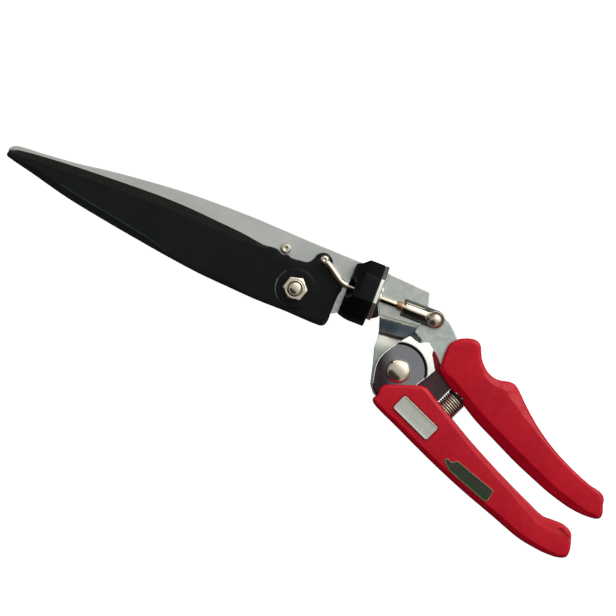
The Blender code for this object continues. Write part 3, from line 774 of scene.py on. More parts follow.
def turned_nickel(name, start, dark):
    """Bright nickel with painted shade on its -Y side, beyond x = start."""
    look = metal(name, **NICKEL)
    normal = look.node("ShaderNodeTexCoord").outputs["Normal"]
    away = look.vector("DOT_PRODUCT", normal, (0.0, -1.0, 0.0), "Value")
    away = look.math("ADD", away, look.remap(look.noise(size=1.2), between=(0.3, 0.7),
                                             to=(-0.06, 0.06)))
    # painted shade on the faces that turn towards -Y
    mask = look.math("MULTIPLY", look.remap(away, between=(-0.02, 0.24), kind="SMOOTHSTEP"),
                     look.remap(look.axis(ALONG_X, -start), between=(0.0, 0.4)))
    look.cover(mask, dark)
    look.dull(mask, amount=0.2)
    return look.material


def lever_metal():
    """Zinc plated arm, dull, and darkened with painted shade where it runs between the grips."""
    look = metal("lever_zinc_shaded", (222, 229, 224), (192, 201, 198), mottle=(5.0, 0.6),
                 fine=0.4, spots=(0.15, (165, 178, 170)))
    wobble = look.remap(look.noise(size=5), between=(0.3, 0.7), to=(-0.5, 0.5))
    # painted shade where the arm runs between the grips
    height = look.math("ADD", look.axis((0.35, 1.0, 0), offset=-13.8), wobble)
    mask = look.remap(height, between=(-1.2, 1.0), to=(1.0, 0.0), kind="SMOOTHSTEP")
    look.cover(mask, look.tint((90, 70, 74), (76, 62, 64), look.noise(size=2.2, detail=4)))
    look.dull(mask, amount=0.12)
    return look.material


# Painted highlight, reflection and shade in bands across the slope of the frame: millimetres down
# the slope, colour
SLOPE_PAINTED_LIGHT = [
    (-1.1, (190, 190, 182)), (-0.75, (138, 138, 124)), (-0.35, (246, 244, 230)),
    (0.1, (226, 226, 214)), (0.5, (112, 122, 122)), (1.6, (90, 106, 114)),
    (3.4, (84, 98, 116)), (5.6, (108, 114, 124)), (6.4, (128, 128, 122)), (6.8, (66, 58, 46)),
    (8.0, (54, 46, 36)), (8.5, (252, 250, 238)), (11.5, (240, 240, 230)),
    (13.5, (196, 204, 196)), (15.9, (164, 174, 166))]
# The same for how metallic it is
SLOPE_METALLIC = [(-0.9, 1), (-0.7, 0.45), (0.4, 0.22), (8.4, 0.22), (8.6, 0.15),
                  (13.0, 0.25), (15.9, 0.5)]


def frame_metal():
    """Zinc plated frame; the slope between its two levels is painted steel blue as a reflection,
    with a painted highlight on its crest, a painted shadow at its foot and the flat below painted
    light.
    """
    look = metal("frame_zinc_painted_slope", (224, 228, 222), (196, 202, 197), mottle=(4.5, 0.6),
                 fine=0.4, spots=(0.14, (168, 180, 170)))
    down = look.math("ADD", look.axis((0.0973, -1.0, 0), offset=22.29),
                     look.remap(look.noise(size=2.5), between=(0.3, 0.7), to=(-0.25, 0.25)))
    share = look.remap(down, between=(-2.0, 16.0))
    tone = look.ramp(share, [((mm + 2.0) / 18.0, srgb(*colour)) for mm, colour in SLOPE_PAINTED_LIGHT])
    metallic = look.ramp(share, [((mm + 2.0) / 18.0, (grey, grey, grey, 1.0))
                                 for mm, grey in SLOPE_METALLIC])
    mask = look.math("MULTIPLY", look.remap(down, between=(-1.3, -1.0)),
                     look.remap(look.axis(ALONG_X, offset=20.6), between=(0.0, 0.1)))
    # lay the painted highlight, reflection and shade of the slope
    look.cover(mask, look.mix(0.25, tone, look.source("Base Color"), "MULTIPLY"))
    metallic = look.mix(mask, (255, 255, 255), metallic)
    look.feed("Metallic", look.node("ShaderNodeRGBToBW", {"Color": metallic}).outputs[0])
    return look.material


def cheek_metal():
    """Bright plate whose pressed disc is dull, darker towards -X and -Y: its grey is painted
    reflection, the darkening painted shade, and the dark crescent on its rim a painted shadow.
    """
    look = metal("bright_plate", (250, 251, 248), (236, 238, 234), mottle=(5.0, 0.5),
                 rough=0.16, grain=0.002)
    moved = look.vector("ADD", look.place, (0.0, 0.0, 0.0))
    plan = look.vector("MULTIPLY", moved, (1 / MM, 1 / MM, 0.0))
    radius = look.vector("LENGTH", plan, output="Value")
    disc = look.math("MAXIMUM", look.remap(radius, between=(12.4, 12.6), to=(1.0, 0.0)),
                     look.remap(look.axis((0.934, 0.358, 0)), between=(-8.6, -8.2),
                                to=(1.0, 0.0)))
    left = look.axis((-0.82, -0.57, 0))
    rings = look.node("ShaderNodeTexNoise", {
        "Vector": look.node("ShaderNodeCombineXYZ", {
            "X": look.math("MULTIPLY", radius, 5.0)}).outputs[0],
        "Scale": 1.0, "Detail": 4.0}).outputs["Fac"]
    grey = look.tint((160, 163, 168), (142, 144, 150), rings, between=(0.35, 0.65))
    dim = look.tint((74, 58, 70), (54, 44, 54), look.noise(size=2.6, detail=4),
                    between=(0.3, 0.7))
    tone = look.mix(look.remap(left, between=(-1.5, 8.0), kind="SMOOTHSTEP"), grey, dim)
    side = look.remap(look.axis((0.55, 0.835, 0)), between=(5.0, 8.0), kind="SMOOTHSTEP")
    rim = look.math("MULTIPLY", side, look.math(
        "MULTIPLY", look.remap(radius, between=(12.3, 12.5)),
        look.remap(radius, between=(13.5, 13.7), to=(1.0, 0.0))))
    # painted reflection and shade on the disc, painted shadow on the rim crescent
    look.cover(disc, tone)
    look.cover(rim, (34, 33, 38))
    look.dull(look.math("MAXIMUM", disc, rim), amount=0.18)
    return look.material


NICKEL = dict(light=(240, 232, 214), dark=(214, 204, 184), rough=0.13, mottle=(2.5, 0.4),
              fine=0.3, wear=0.4, grain=0.002)
# Plain metals: finish key, material name, settings
METALS = [
    ("steel", "brushed_steel", dict(
        light=(226, 229, 225), dark=(200, 204, 201), rough=0.34, streak=(40, 1, 1),
        mottle=(26, 0.5), spots=(0.05, (176, 184, 180)))),
    ("zinc", "zinc_plate", dict(
        light=(222, 229, 224), dark=(190, 200, 196), mottle=(4.5, 0.6), fine=0.4,
        spots=(0.18, (160, 176, 166)))),
    ("nickel", "nickel_plate", NICKEL),
    ("ball", "ball_nickel", dict(
        light=(232, 220, 204), dark=(196, 180, 166), rough=0.24, mottle=(2.2, 0.6),
        fine=0.3, grain=0.003)),
    ("copper", "copper_collar", dict(
        light=(206, 168, 136), dark=(140, 104, 76), rough=0.26, mottle=(1.4, 0.7), fine=0.3)),
    # dark plate under the barrel: its darkness is painted shade beside the barrel
    ("shoe", "shoe_shade_plate", dict(
        light=(104, 107, 98), dark=(78, 82, 74), rough=0.36, mottle=(3.0, 0.7), fine=0.4)),
    ("spring", "spring_wire", dict(
        light=(220, 208, 186), dark=(118, 104, 90), rough=0.22, mottle=(1.2, 0.7),
        fine=0.2, grain=0.002)),
    # dark finish that paints shade inside the coil on the spring seats and in the inside corner of
    # the frame
    ("shade_dark", "painted_shade_finish", dict(
        light=(52, 44, 42), dark=(30, 26, 26), rough=0.45, mottle=(2.0, 0.6))),
    ("pin", "pin_steel", dict(
        light=(190, 190, 184), dark=(140, 140, 136), mottle=(1.5, 0.6))),
    ("bronze", "bronze_bush", dict(
        light=(200, 160, 110), dark=(150, 112, 70), rough=0.35, mottle=(1.5, 0.6))),
    # near-white rim of the cheek plate: painted highlight
    ("edge", "rim_glint", dict(
        light=(250, 251, 250), dark=(238, 240, 240), mottle=(2.0, 0.5), metallic=0.15)),
    ("badge", "badge_satin", dict(
        light=(224, 226, 216), dark=(206, 210, 202), rough=0.38, streak=(20, 1, 1),
        mottle=(7, 0.5), fine=0.3, spots=(0.1, (200, 196, 190)))),
]
for key, name, settings in METALS:
    FINISH[key] = metal(name, **settings).material

FINISH.update({
    "red": plastic("moulded_red", face=(165, 8, 28), dark=(149, 5, 24),
                   bright=(188, 28, 48), rough=0.30),
    # darker red in the recess at the end of the lower grip: painted shade
    "slot": plastic("slot_shade_red", face=(148, 1, 14), dark=(132, 0, 10), bright=(160, 12, 24)),
    # darker red for the sunk tongue of the upper grip: painted shade
    "recess": plastic("tongue_shade_red", face=(120, 6, 16), dark=(96, 4, 12),
                      bright=(140, 12, 24)),
    "black": black_coat(),
    "ground": ground_black(),
    # painted highlight along the fold where the flat of the coated blade starts to fall
    "crease": film("fold_glint_line", (50, 56, 68), (30, 34, 41), rough=(0.26, 0.38), top=0.65,
                   size=0.8, roughness=0.6, stretch=(8, 1, 1)),
    # painted highlight on the edge of the raised boss round the blade pivot
    "arc": film("boss_edge_glint", (104, 112, 124), (74, 82, 92), rough=(0.28, 0.4), top=0.65,
                relief=False, size=0.8),
    "block": block_black(),
    # painted shade darkens the rod and the barrel on their -Y sides
    "rod": turned_nickel("rod_nickel_shaded", start=-22.0, dark=(44, 22, 16)),
    "barrel": turned_nickel("barrel_nickel_shaded", start=-30.0, dark=(74, 68, 64)),
    "lever": lever_metal(),
    "frame": frame_metal(),
    "cheek": cheek_metal(),
    "label": film("label_print", (20, 52, 26), (30, 40, 30), rough=(0.34, 0.46), size=1.4),
    "label_line": film("label_line", (136, 124, 92), (104, 94, 68), rough=(0.30, 0.42),
                       specular=0.4, relief=False, size=0.5),
    "label_field": film("label_field", (26, 34, 24), (52, 50, 38), rough=(0.34, 0.46),
                        size=0.9),
})

# ================================================================ fixed blade
PIVOT = centre("blade_nut")
STOP = centre("stop_pin")
EAR = (-51.1, 36.4)     # hole of the moving blade that takes the pull rod
fixed_low, fixed_high = (corner.z for corner in span("fixed_blade"))

# x, y, width of the bevel below where there is one
FIXED_BLADE = [
    (-208.5, 31.0, 0.4), (-207.8, 33.2), (-205.0, 34.8), (-192.0, 35.8), (-175.0, 37.3),
    (-161.0, 39.3), (-136.5, 41.8), (-116.5, 43.0), (-91.5, 43.2), (-70.5, 42.5),
    (-57.5, 42.0), (-40.0, 41.6), (-28.5, 41.4), (-28.5, 16.0), (-36.0, 15.6),
    (-39.6, 13.6), (-43.0, 10.2), (-50.0, 8.8), (-62.0, 9.0), (-71.0, 12.0),
    (-78.0, 19.0, 0.4), (-95.0, 21.5, 3.4), (-120.0, 23.8, 4.0), (-150.0, 26.2, 4.0),
    (-185.0, 29.0, 3.0), (-204.0, 30.2, 1.2)]
fixed_loop, fixed_width = spline(FIXED_BLADE, 1.2, plain=(0.0,), corners=(11, 12, 13, 14))


def fixed_bottom(at):
    width = np.maximum(along(fixed_width, at.place), 0.01)
    beveled = smooth(0.3, 2.0, width)
    return (fixed_low + edge_round(at.hole, 0.15)
            + 1.55 * soft(1 - at.edge / width, 0.05) * beveled
            + edge_round(at.edge, 0.15) * (1 - beveled))


fixed = field("fixed_blade_vis", fixed_loop, upper_face(fixed_high, 0.18, 0.15), fixed_bottom,
              "steel", holes=[circle(PIVOT, 3.15, 40), circle(STOP, 1.6, 28)],
              rows=(0.06, 0.18, 0.5), width=np.maximum(fixed_width, 0.9),
              ratios=(0.5, 0.9, 1.0, 1.1), grid=4.5)
place(fixed, "head", "blade_steel", "fixed_blade")

# =============================================================== moving blade
moving_low, boss_high = (corner.z for corner in span("moving_blade"))
moving_high = moving_low + 2.0

# x, y, width and depth of the sloped strip along the edge where it is not plain
MOVING_BLADE = [
    (-208.4, 29.0, 0.8, 0.5), (-207.6, 31.6, 1.2, 0.9), (-205.4, 32.6, 1.8, 1.1),
    (-200.5, 33.4, 2.6, 1.2), (-191.5, 34.3, 3.2, 1.25), (-172.5, 35.5, 3.6, 1.25),
    (-137.5, 36.7, 4.2, 1.25), (-120.0, 36.4, 4.2, 1.25), (-105.0, 35.3, 4.0, 1.25),
    (-92.0, 34.3, 3.6, 1.2), (-80.0, 32.7, 1.4, 0.6), (-75.8, 33.2), (-73.2, 33.0),
    (-70.6, 31.6), (-67.8, 32.4), (-66.0, 31.6), (-61.6, 32.0), (-58.0, 32.6),
    (-56.0, 35.0), (-55.0, 37.6), (-52.5, 39.4), (-49.8, 39.2), (-47.6, 37.6),
    (-46.6, 35.6), (-42.5, 31.5), (-38.8, 27.4), (-39.4, 22.0), (-39.5, 14.0),
    (-39.6, 9.6), (-40.8, 7.2), (-43.5, 6.6), (-51.6, 6.8), (-60.4, 7.2), (-74.5, 7.3),
    (-89.7, 8.2), (-104.0, 9.2, 0.5, 0.15), (-119.5, 11.1, 1.6, 0.2),
    (-135.0, 13.4, 3.4, 0.35), (-155.5, 16.7, 3.8, 0.42), (-175.0, 20.3, 3.7, 0.42),
    (-194.0, 25.0, 2.8, 0.36), (-206.6, 28.0, 1.2, 0.25)]
moving_loop, moving_width, moving_depth = spline(MOVING_BLADE, 1.0, plain=(0.5, 0.3))
cutting_side = moving_loop[:, 1] > 29.2


def from_pivot(at):
    return np.hypot(at.x - PIVOT.x, at.y - PIVOT.y)


def moving_top(at):
    width, depth = along(moving_width, at.place), along(moving_depth, at.place)
    strip = depth * soft(1 - at.edge / width, 0.06)
    boss = (boss_high - moving_high) * smooth(9.7, 8.9, from_pivot(at))
    return moving_high - strip - edge_round(at.edge, 0.16) + boss - edge_round(at.hole, 0.25)


def moving_slot(at):
    """Slots are 0 coating, 1 ground strip, 2 painted highlight along the fold and the left of the
    boss edge, 3 painted highlight on the edge of the boss.
    """
    width = along(moving_width, at.place)
    cutting = cutting_side[np.floor(at.place).astype(int) % len(moving_loop)]
    slot = ((at.edge < width) & cutting & (at.x < -84) & (width > 1.1)).astype(int)
    radius = from_pivot(at)
    left = -slant(at.x - PIVOT.x, at.y - PIVOT.y) / np.maximum(radius, 0.1)
    slot[(radius > 9.0) & (radius < 9.6) & (left > 0.45)] = 2
    slot[(radius > 9.15) & (radius < 9.6) & (left > 0.86)] = 3
    slot[(np.abs(at.edge / width - 1) < 0.05) & ~cutting & (at.x < -122) & (at.x > -180)] = 2
    return slot


moving = field("moving_blade_vis", moving_loop, moving_top,
               lower_face(moving_low, 0.12, 0.15), "black ground crease arc",
               holes=[circle(PIVOT, 3.2, 40), circle(EAR, 1.7, 36)], rows=(0.05, 0.16, 0.4),
               width=moving_width, ratios=(0.5, 0.88, 0.955, 1.0, 1.045, 1.14),
               lines=[circle(PIVOT, radius, 72) for radius in (8.8, 9.0, 9.2, 9.4, 9.6, 9.8)],
               grid=3.5, face_slot=moving_slot, angle=40)
place(moving, "blade", "black_coat", "moving_blade")

# ================================================== stop pin, nut, bolt, washer
stop = revolve("stop_pin_vis", rounded([
    (1.2, 5.2), (1.9, 5.25), (1.9, 5.85), (1.4, 5.9), (1.4, 8.3), (2.5, 8.35), (2.5, 10.4),
    (2.05, 11.05), (1.25, 11.15), (0.95, 10.8), (0.3, 10.7)], 0.22),
    "nickel", (STOP.x, STOP.y, 0), sides=48)
place(stop, "head", "nickel", "stop_pin")

HEX_TURN = math.radians(12)
HEX_CORNER = 5.85
HEX_FLAT = HEX_CORNER * math.cos(math.radians(30))
HEX_SEAT = HEX_FLAT * 0.93      # radius at which the chamfer starts


def hexagon(name, low, high, bore=0.0, top_chamfer=True):
    """Hexagon with turned chamfers, and a bore or plain faces."""
    columns = []
    for turn in around(120):
        angle = HEX_TURN + turn
        off_flat = turn % (math.pi / 3) - math.pi / 6
        reach = min(HEX_FLAT / math.cos(off_flat), HEX_CORNER * 0.985)
        drop = (reach - HEX_SEAT) * math.tan(math.radians(27))
        column = [(HEX_SEAT, low), (reach, low + drop),
                  (reach, high - (drop if top_chamfer else 0.12)), (HEX_SEAT, high)]
        if bore:
            column = [(bore, low + 0.35), (bore + 0.4, low), *column,
                      (bore + 0.55, high), (bore, high - 0.5)]
        else:
            column = [(0.4, low), *column, (0.4, high)]
        columns.append([(PIVOT.x + radius * math.cos(angle),
                         PIVOT.y + radius * math.sin(angle), z) for radius, z in column])
    return loft(name, list(zip(*columns)), "nickel", 24, closed=bool(bore))


low, high = span("blade_nut")
nut = hexagon("blade_nut_vis", low.z, high.z, bore=3.5)
place(nut, "head", "nickel", "blade_nut")

low, high = span("blade_bolt")
bolt = hexagon("blade_bolt_vis", low.z, low.z + 3.5, top_chamfer=False)
dome = [(3.0, 4.0), (3.0, high.z - 1.15)] + [
    (3.0 * math.cos(t) ** 0.8, high.z - 1.1 + 1.1 * math.sin(t))
    for t in map(math.radians, range(8, 81, 12))] + [(0.15, high.z)]
merge(bolt, revolve("shank", dome, "nickel", (PIVOT.x, PIVOT.y, 0), sides=48),
      operation="UNION", angle=28)
place(bolt, "head", "nickel", "blade_bolt")

low, high = span("blade_washer")
washer = revolve("blade_washer_vis", [
    (3.2, low.z + 0.1), (3.3, low.z), (6.4, low.z), (6.6, low.z + 0.2), (6.6, high.z - 0.2),
    (6.4, high.z), (3.3, high.z), (3.2, high.z - 0.1)],
    "nickel", (PIVOT.x, PIVOT.y, 0), closed=True)
place(washer, "head", "nickel", "blade_washer")

# ================================================================ swivel block
block_start, block_end = (corner.x for corner in span("swivel_block"))
AXIS_Y, AXIS_Z = centre("swivel_sleeve").y, centre("swivel_sleeve").z
AXIS_BASE = (0, AXIS_Y, AXIS_Z)
OCTAGON = 15.62         # radius over its corners
OCTAGON_TURN = 10.0


def octagon(radius, corner):
    """Octagon in (y, z) about the swivel axis with rounded corners."""
    angles = [math.radians(22.5 + 45 * i + OCTAGON_TURN) for i in range(8)]
    points = [radius * np.array([math.sin(t), math.cos(t)]) for t in angles]
    arcs = [corner_arc(points[i - 1], points[i], points[(i + 1) % 8], corner, 4)
            for i in range(8)]
    loop = []
    for arc, follow in zip(arcs, arcs[1:] + arcs[:1]):
        side = follow[0] - arc[-1]
        loop += arc + [arc[-1] + side * k / 3 for k in (1, 2)]
    return np.array(loop)


# x, share of the full radius, share taken off the upper side
BLOCK_RINGS = [
    (block_start, 0.885, 0.28), (block_start + 0.12, 0.905, 0.22),
    (block_start + 0.45, 0.925, 0.18), (block_start + 1.0, 0.935, 0.165),
    (block_start + 3.0, 0.972, 0.135), (block_start + 3.3, 0.977, 0.125),
    (block_start + 5.5, 0.998, 0.018), (block_start + 5.9, 1.0, 0.004),
    (block_start + 6.3, 1.0, 0.0), (block_end - 0.4, 1.0, 0.0),
    (block_end + 0.1, 0.994, 0.0), (block_end + 0.33, 0.975, 0.0)]
section = octagon(OCTAGON, 0.9)
section_angle = np.degrees(np.arctan2(section[:, 0], section[:, 1]))
upper_side = np.clip(1.25 * np.cos(np.radians(section_angle - 65.0)), 0, 1)
block = loft("swivel_block_vis", [
    [(x, AXIS_Y + y * k, AXIS_Z + z * k)
     for (y, z), k in zip(section, share - tilt * upper_side)]
    for x, share, tilt in BLOCK_RINGS], "block", 22)

# the mouth in the blade side where the rod comes in, open to the upper face
MOUTH = [(-1, -3.2), (1.8, -3.2), (3.2, -2.2), (3.2, 2.2), (1.8, 3.2), (-1, 3.2)]
mouth = [[(block_start + x, AXIS_Y + y * spread, AXIS_Z + z) for x, y in MOUTH]
         for z, spread in ((-1.2, 0.8), (17.0, 1.9))]
DETENT = centre("detent_ball")
merge(block,
      rod_tool(block_start - 2, block_end + 2, AXIS_Y, AXIS_Z, 3.2),
      loft("tool", mouth, "block"),
      prism([(-40, 15.3), (-28.2, 15.3), (-28.2, 42.1), (-40, 42.1)],
            fixed_low - 0.2, fixed_high + 0.2),
      rod_tool(-31.5, block_end + 1, DETENT.y, DETENT.z, 1.85),
      *(prism(circle(centre(pin), 1.62, 28), -9.0, 11.2)
        for pin in ("tang_pin_front", "tang_pin_rear")), angle=22)
place(block, "head", "block_black", "swivel_block")

sleeve = revolve("swivel_sleeve_vis", [
    (2.5, -29.0), (3.0, -29.0), (3.1, -28.8), (3.1, -21.0), (3.6, -20.95), (3.72, -20.8),
    (3.72, -20.35), (3.55, -20.12), (2.7, -20.1), (2.5, -20.3)],
    "nickel", AXIS_BASE, ALONG_X, 56, closed=True)
place(sleeve, "head", "nickel", "swivel_sleeve")

# ==================================================================== pull rod
ROD = 1.55              # radius of the open part
ROD_TIP = 0.8           # radius where it starts under the knob
ROD_THINNER = 0.26      # less radius where the collar and the barrel hide it
BEND = (-48.2, 34.75)
lead = unit(np.array([BEND[0] - EAR[0], BEND[1] - EAR[1]]))
path = [(EAR[0] + lead[0] * t, EAR[1] + lead[1] * t, z)
        for t, z in ((0.5, 11.7), (1.2, 11.85), (2.1, AXIS_Z))]
path += [(x, y, AXIS_Z) for x, y in (BEND, (-46.6, 33.75), (-44.0, 31.95), (-41.8, 30.45),
                                     (-40.2, 29.55), (-38.6, 29.0))]
path += [(x, AXIS_Y, AXIS_Z) for x in (-37.0, -35.0, -25.0, -15.0, -11.0, -6.3)]
path = catmull(path, 0.45)
run = np.concatenate([[0], np.cumsum(np.linalg.norm(np.diff(path, axis=0), axis=1))])
radii = (ROD_TIP + (ROD - ROD_TIP) * smooth(-0.3, 1.5, run)
         - ROD_THINNER * smooth(-12.9, -12.35, path[:, 0]))
# x and radius of the head at the end
ROD_HEAD = [(-6.1, ROD - ROD_THINNER), (-6.0, 1.9), (-5.85, 2.0), (-5.0, 2.0), (-4.7, 1.85),
            (-4.5, 1.5)]
rod = sweep("pull_rod_vis", [*path, *((x, AXIS_Y, AXIS_Z) for x, _ in ROD_HEAD)],
            [*radii, *(radius for _, radius in ROD_HEAD)], "rod", 28)
knob = revolve("knob", [
    (0.9, 8.55), (1.1, 8.7), (1.1, 10.45), (1.9, 10.5), (2.1, 10.75), (2.18, 11.3),
    (2.12, 11.9), (1.95, 12.45), (1.6, 12.9), (1.15, 13.12), (0.85, 13.1), (0.65, 12.9),
    (0.35, 12.75), (0.08, 12.72)], "rod", (*EAR, 0), sides=48)
merge(rod, knob, operation="UNION", angle=40)
place(rod, "rod", "nickel", "pull_rod")

collar = revolve("rod_collar_vis", [
    (1.68, -12.1), (1.78, -12.1), (1.84, -11.9), (1.84, -11.1), (2.05, -11.0), (2.22, -10.8),
    (2.25, -10.5), (2.25, -10.05), (2.08, -9.95), (2.08, -9.75), (2.25, -9.65), (2.25, -9.2),
    (2.18, -8.85), (1.95, -8.6), (1.68, -8.6)],
    "copper", AXIS_BASE, ALONG_X, 48, closed=True)
place(collar, "rod_end", "brass_collar", "rod_collar")

# =================================================================== connector
BALL = centre("connector_rivet")
ball_hole = circle((BALL.x, AXIS_Y), 2.15, 40)
barrel = revolve("connector_barrel_vis", [
    (1.66, -7.9), (2.55, -7.9), (2.8, -7.8), (2.9, -7.55), (2.9, -7.0), (2.78, -6.9),
    (2.78, -6.6), (2.9, -6.5), (2.9, 2.55), (2.8, 2.85), (2.55, 3.0), (1.2, 3.0), (1.2, 1.5),
    (2.3, 1.5), (2.3, -6.7), (1.66, -6.7)], "barrel", AXIS_BASE, ALONG_X, 56, closed=True)
eye_loop = fillet([
    (1.8, AXIS_Y - 1.7), (BALL.x - 3.0, AXIS_Y - 2.5),
    *arc_points(BALL.x, AXIS_Y, 3.9, 3.9, range(-120, 121, 15)),
    (BALL.x - 3.0, AXIS_Y + 2.5), (1.8, AXIS_Y + 1.7)], 0.3, 0.8)
eye = field("eye", eye_loop, upper_face(11.1, 0.25), lower_face(9.3, 0.2), "barrel",
            holes=[ball_hole], rows=(0.07, 0.25), grid=2)
merge(barrel, eye, operation="UNION")
place(barrel, "connector", "nickel", "connector_barrel")

# the shoe's dark finish is painted shade beside the barrel
low, high = span("connector_shoe")
shoe_loop = fillet([
    (-8.9, 24.5), (7.4, 24.4), *arc_points(BALL.x, AXIS_Y, 4.5, 4.4, range(-75, 76, 15)),
    (7.4, 33.2), (-8.9, 33.1)], 0.5, 0.8)
shoe = field("connector_shoe_vis", shoe_loop, upper_face(high.z, 0.34),
             lower_face(low.z, 0.12), "shoe", holes=[ball_hole], rows=(0.06, 0.16, 0.34),
             grid=2)
place(shoe, "connector", "lever_steel", "connector_shoe")

BALL_RADIUS, BALL_Z = 4.0, 13.4
stem = rounded([(2.0, 2.7), (2.6, 2.72), (2.6, 3.6), (1.4, 3.75), (1.4, 11.0)])
sphere = [(BALL_RADIUS * math.sin(t), BALL_Z + BALL_RADIUS * math.cos(t))
          for t in map(math.radians, (*range(142, 13, -8), 7, 2))]
ball = revolve("connector_rivet_vis", stem + sphere, "ball", (BALL.x, BALL.y, 0), sides=56)
place(ball, "lever", "nickel", "connector_rivet")

# ================================================================= frame plate
NECK_Z, PIVOT_Z, FRAME_THICK = 8.1, 3.8, 1.8     # upper faces of the two levels

# x, y, corner radius
FRAME_PLATE = [
    (-22.4, 41.4, 0), (0.6, 39.9, 1.0), (2.4, 33.1, 0.8), (2.4, 31.3, 0.4), (-2.4, 31.3, 0.5),
    (-2.4, 26.5, 0.5), (2.0, 26.5, 0.4), (0.9, 22.38, 0.3), (-6.4, 21.67, 0.3),
    (-6.6, 15.22, 0.3), (-5.9, 15.3, 0.2), (-4.4, 19.8, 1.0), (1.0, 20.6, 1.0), (7.0, 18.4, 1.0),
    (8.8, 14.0, 1.0), (9.5, 9.5, 3.0), (11.5, 2.0, 3.0), (10.5, -6.0, 3), (16.0, -12.0, 3),
    (34.0, -22.5, 4), (60.0, -35.6, 4), (92.0, -46.4, 1), (92.0, -50.0, 1), (84.0, -49.0, 4),
    (58.0, -40.2, 4), (30.0, -30.4, 4), (12.0, -22.4, 4), (-2.5, -16.4, 3), (-7.2, -14.2, 2),
    (-10.0, -10.8, 3), (-11.0, -7.0, 4), (-12.4, -1.0, 4), (-13.6, 3.0, 4), (-14.6, 6.7, 3),
    (-14.4, 10.0, 4), (-15.2, 14.2, 4), (-17.4, 20.6, 3), (-20.0, 25.6, 1.0), (-22.4, 25.6, 0)]


def frame_level(at):
    """Upper face without its rims, sloping from the neck to the pivot level."""
    slope_top = 20.6 + (at.x + 17.4) * (1.07 / 11.0)
    slope_foot = 14.2 + (at.x + 15.2) * (1.02 / 8.6)
    t = (slope_top - at.y) / np.maximum(slope_top - slope_foot, 0.1)
    t = np.clip(soft(t, 0.10) - soft(t - 1.0, 0.10), 0, 1)
    return NECK_Z + (PIVOT_Z - NECK_Z) * np.where((at.x > -6.25) & (at.y < 21.2), 1.0, t)


def frame_top(at):
    return frame_level(at) - edge_round(at.edge, 0.34) - edge_round(at.hole, 0.2)


def frame_bottom(at):
    return (frame_level(at) - FRAME_THICK + edge_round(at.edge, 0.16)
            + edge_round(at.hole, 0.15))


frame_ob = field("frame_plate_vis", fillet(FRAME_PLATE, 1.0, 0.8), frame_top, frame_bottom,
                 "frame", holes=[circle((0, 0), 3.15, 40)], rows=(0.07, 0.18, 0.34, 0.7),
                 grid=1.1, angle=30)

# flap that falls from the neck between the two levels: x, y, corner radius
FLAP = [
    (-13.0, 22.3, 0), (1.05, 23.7, 0), (0.9, 22.3, 0.2), (-0.2, 18.5, 0.5), (-1.2, 17.85, 0.4),
    (-2.7, 15.75, 0.4), (-6.55, 15.0, 0.3), (-13.0, 14.3, 0)]


def flap_top(at):
    fall = 21.67 + (at.x + 6.4) * 0.0973 - at.y
    free_rim = smooth(22.6, 21.9, at.y) * smooth(-8.0, -6.8, at.x)
    slope = 0.672 - 0.482 * smooth(-12.6, -6.2, at.x)
    return (NECK_Z + 0.02 - slope * np.minimum(soft(fall, 0.3), 6.4)
            - edge_round(at.edge, 0.3) * free_rim)


def flap_bottom(at):
    return np.where(at.y > 22.2, 6.5, np.where(at.x < -6.6, 3.2, 6.15))


# close pair of lines that keeps the step of the flap's lower face crisp
seam = ([(-6.65, 14.2 + 0.6 * i) for i in range(16)]
        + [(-6.55, 14.2 + 0.6 * i) for i in reversed(range(16))])
flap = field("flap", fillet(FLAP, 0.3), flap_top, flap_bottom, "frame",
             rows=(0.06, 0.16, 0.3), grid=0.9, lines=[seam])
merge(frame_ob, flap, operation="UNION", angle=30)
merge(frame_ob, prism([(-20.9, 34.0), (-20.3, 34.0), (-19.95, 31.7), (-20.55, 31.7)],
                      5.0, 9.0), angle=30)

# upright octagonal flange against the swivel block
FLANGE_START, FLANGE_END = -23.2, -21.2
FLANGE_RINGS = [(FLANGE_START, OCTAGON - 0.35), (FLANGE_START + 0.25, OCTAGON - 0.1),
                (FLANGE_END - 0.25, OCTAGON - 0.1), (FLANGE_END, OCTAGON - 0.4)]
flange = loft("flange", [[(x, AXIS_Y + y, AXIS_Z + z) for y, z in octagon(radius, 0.8)]
                         for x, radius in FLANGE_RINGS], "frame", 24)
merge(flange, rod_tool(-30, -18, AXIS_Y, AXIS_Z, 3.3),
      prism([(-25.0, 9.0), (-20.0, 9.0), (-20.0, 17.4), (-25.0, 17.4)], -10, 40), angle=24)
merge(frame_ob, flange, operation="UNION", angle=30)
# ring of eight dimples in its blade side
DIMPLE_RING = 9.0
merge(frame_ob, *(rod_tool(-24.0, -22.6, AXIS_Y + DIMPLE_RING * math.sin(t),
                           AXIS_Z + DIMPLE_RING * math.cos(t), 1.1, 20)
                  for t in (math.radians(45 * i) for i in range(8))), angle=30)
place(frame_ob, "frame", "zinc_steel", "frame_plate")

# dark sheet of painted shade in the inside corner where the neck turns up into the flange
corner = field("frame_corner_shade", fillet([
    (-21.3, 25.5, 0), (-19.9, 25.1, 0.3), (-17.75, 20.9, 0.3), (-18.7, 19.7, 0.6),
    (-21.3, 18.0, 0)], 0.3), upper_face(7.9, 0.25), lower_face(6.4, 0.2), "shade_dark",
    rows=(0.06, 0.16, 0.25), grid=1.0)
place(corner, "frame", "zinc_steel", "frame_plate")

# ================================================================== near cheek
cheek_low, cheek_high = (corner.z for corner in span("near_cheek_plate"))

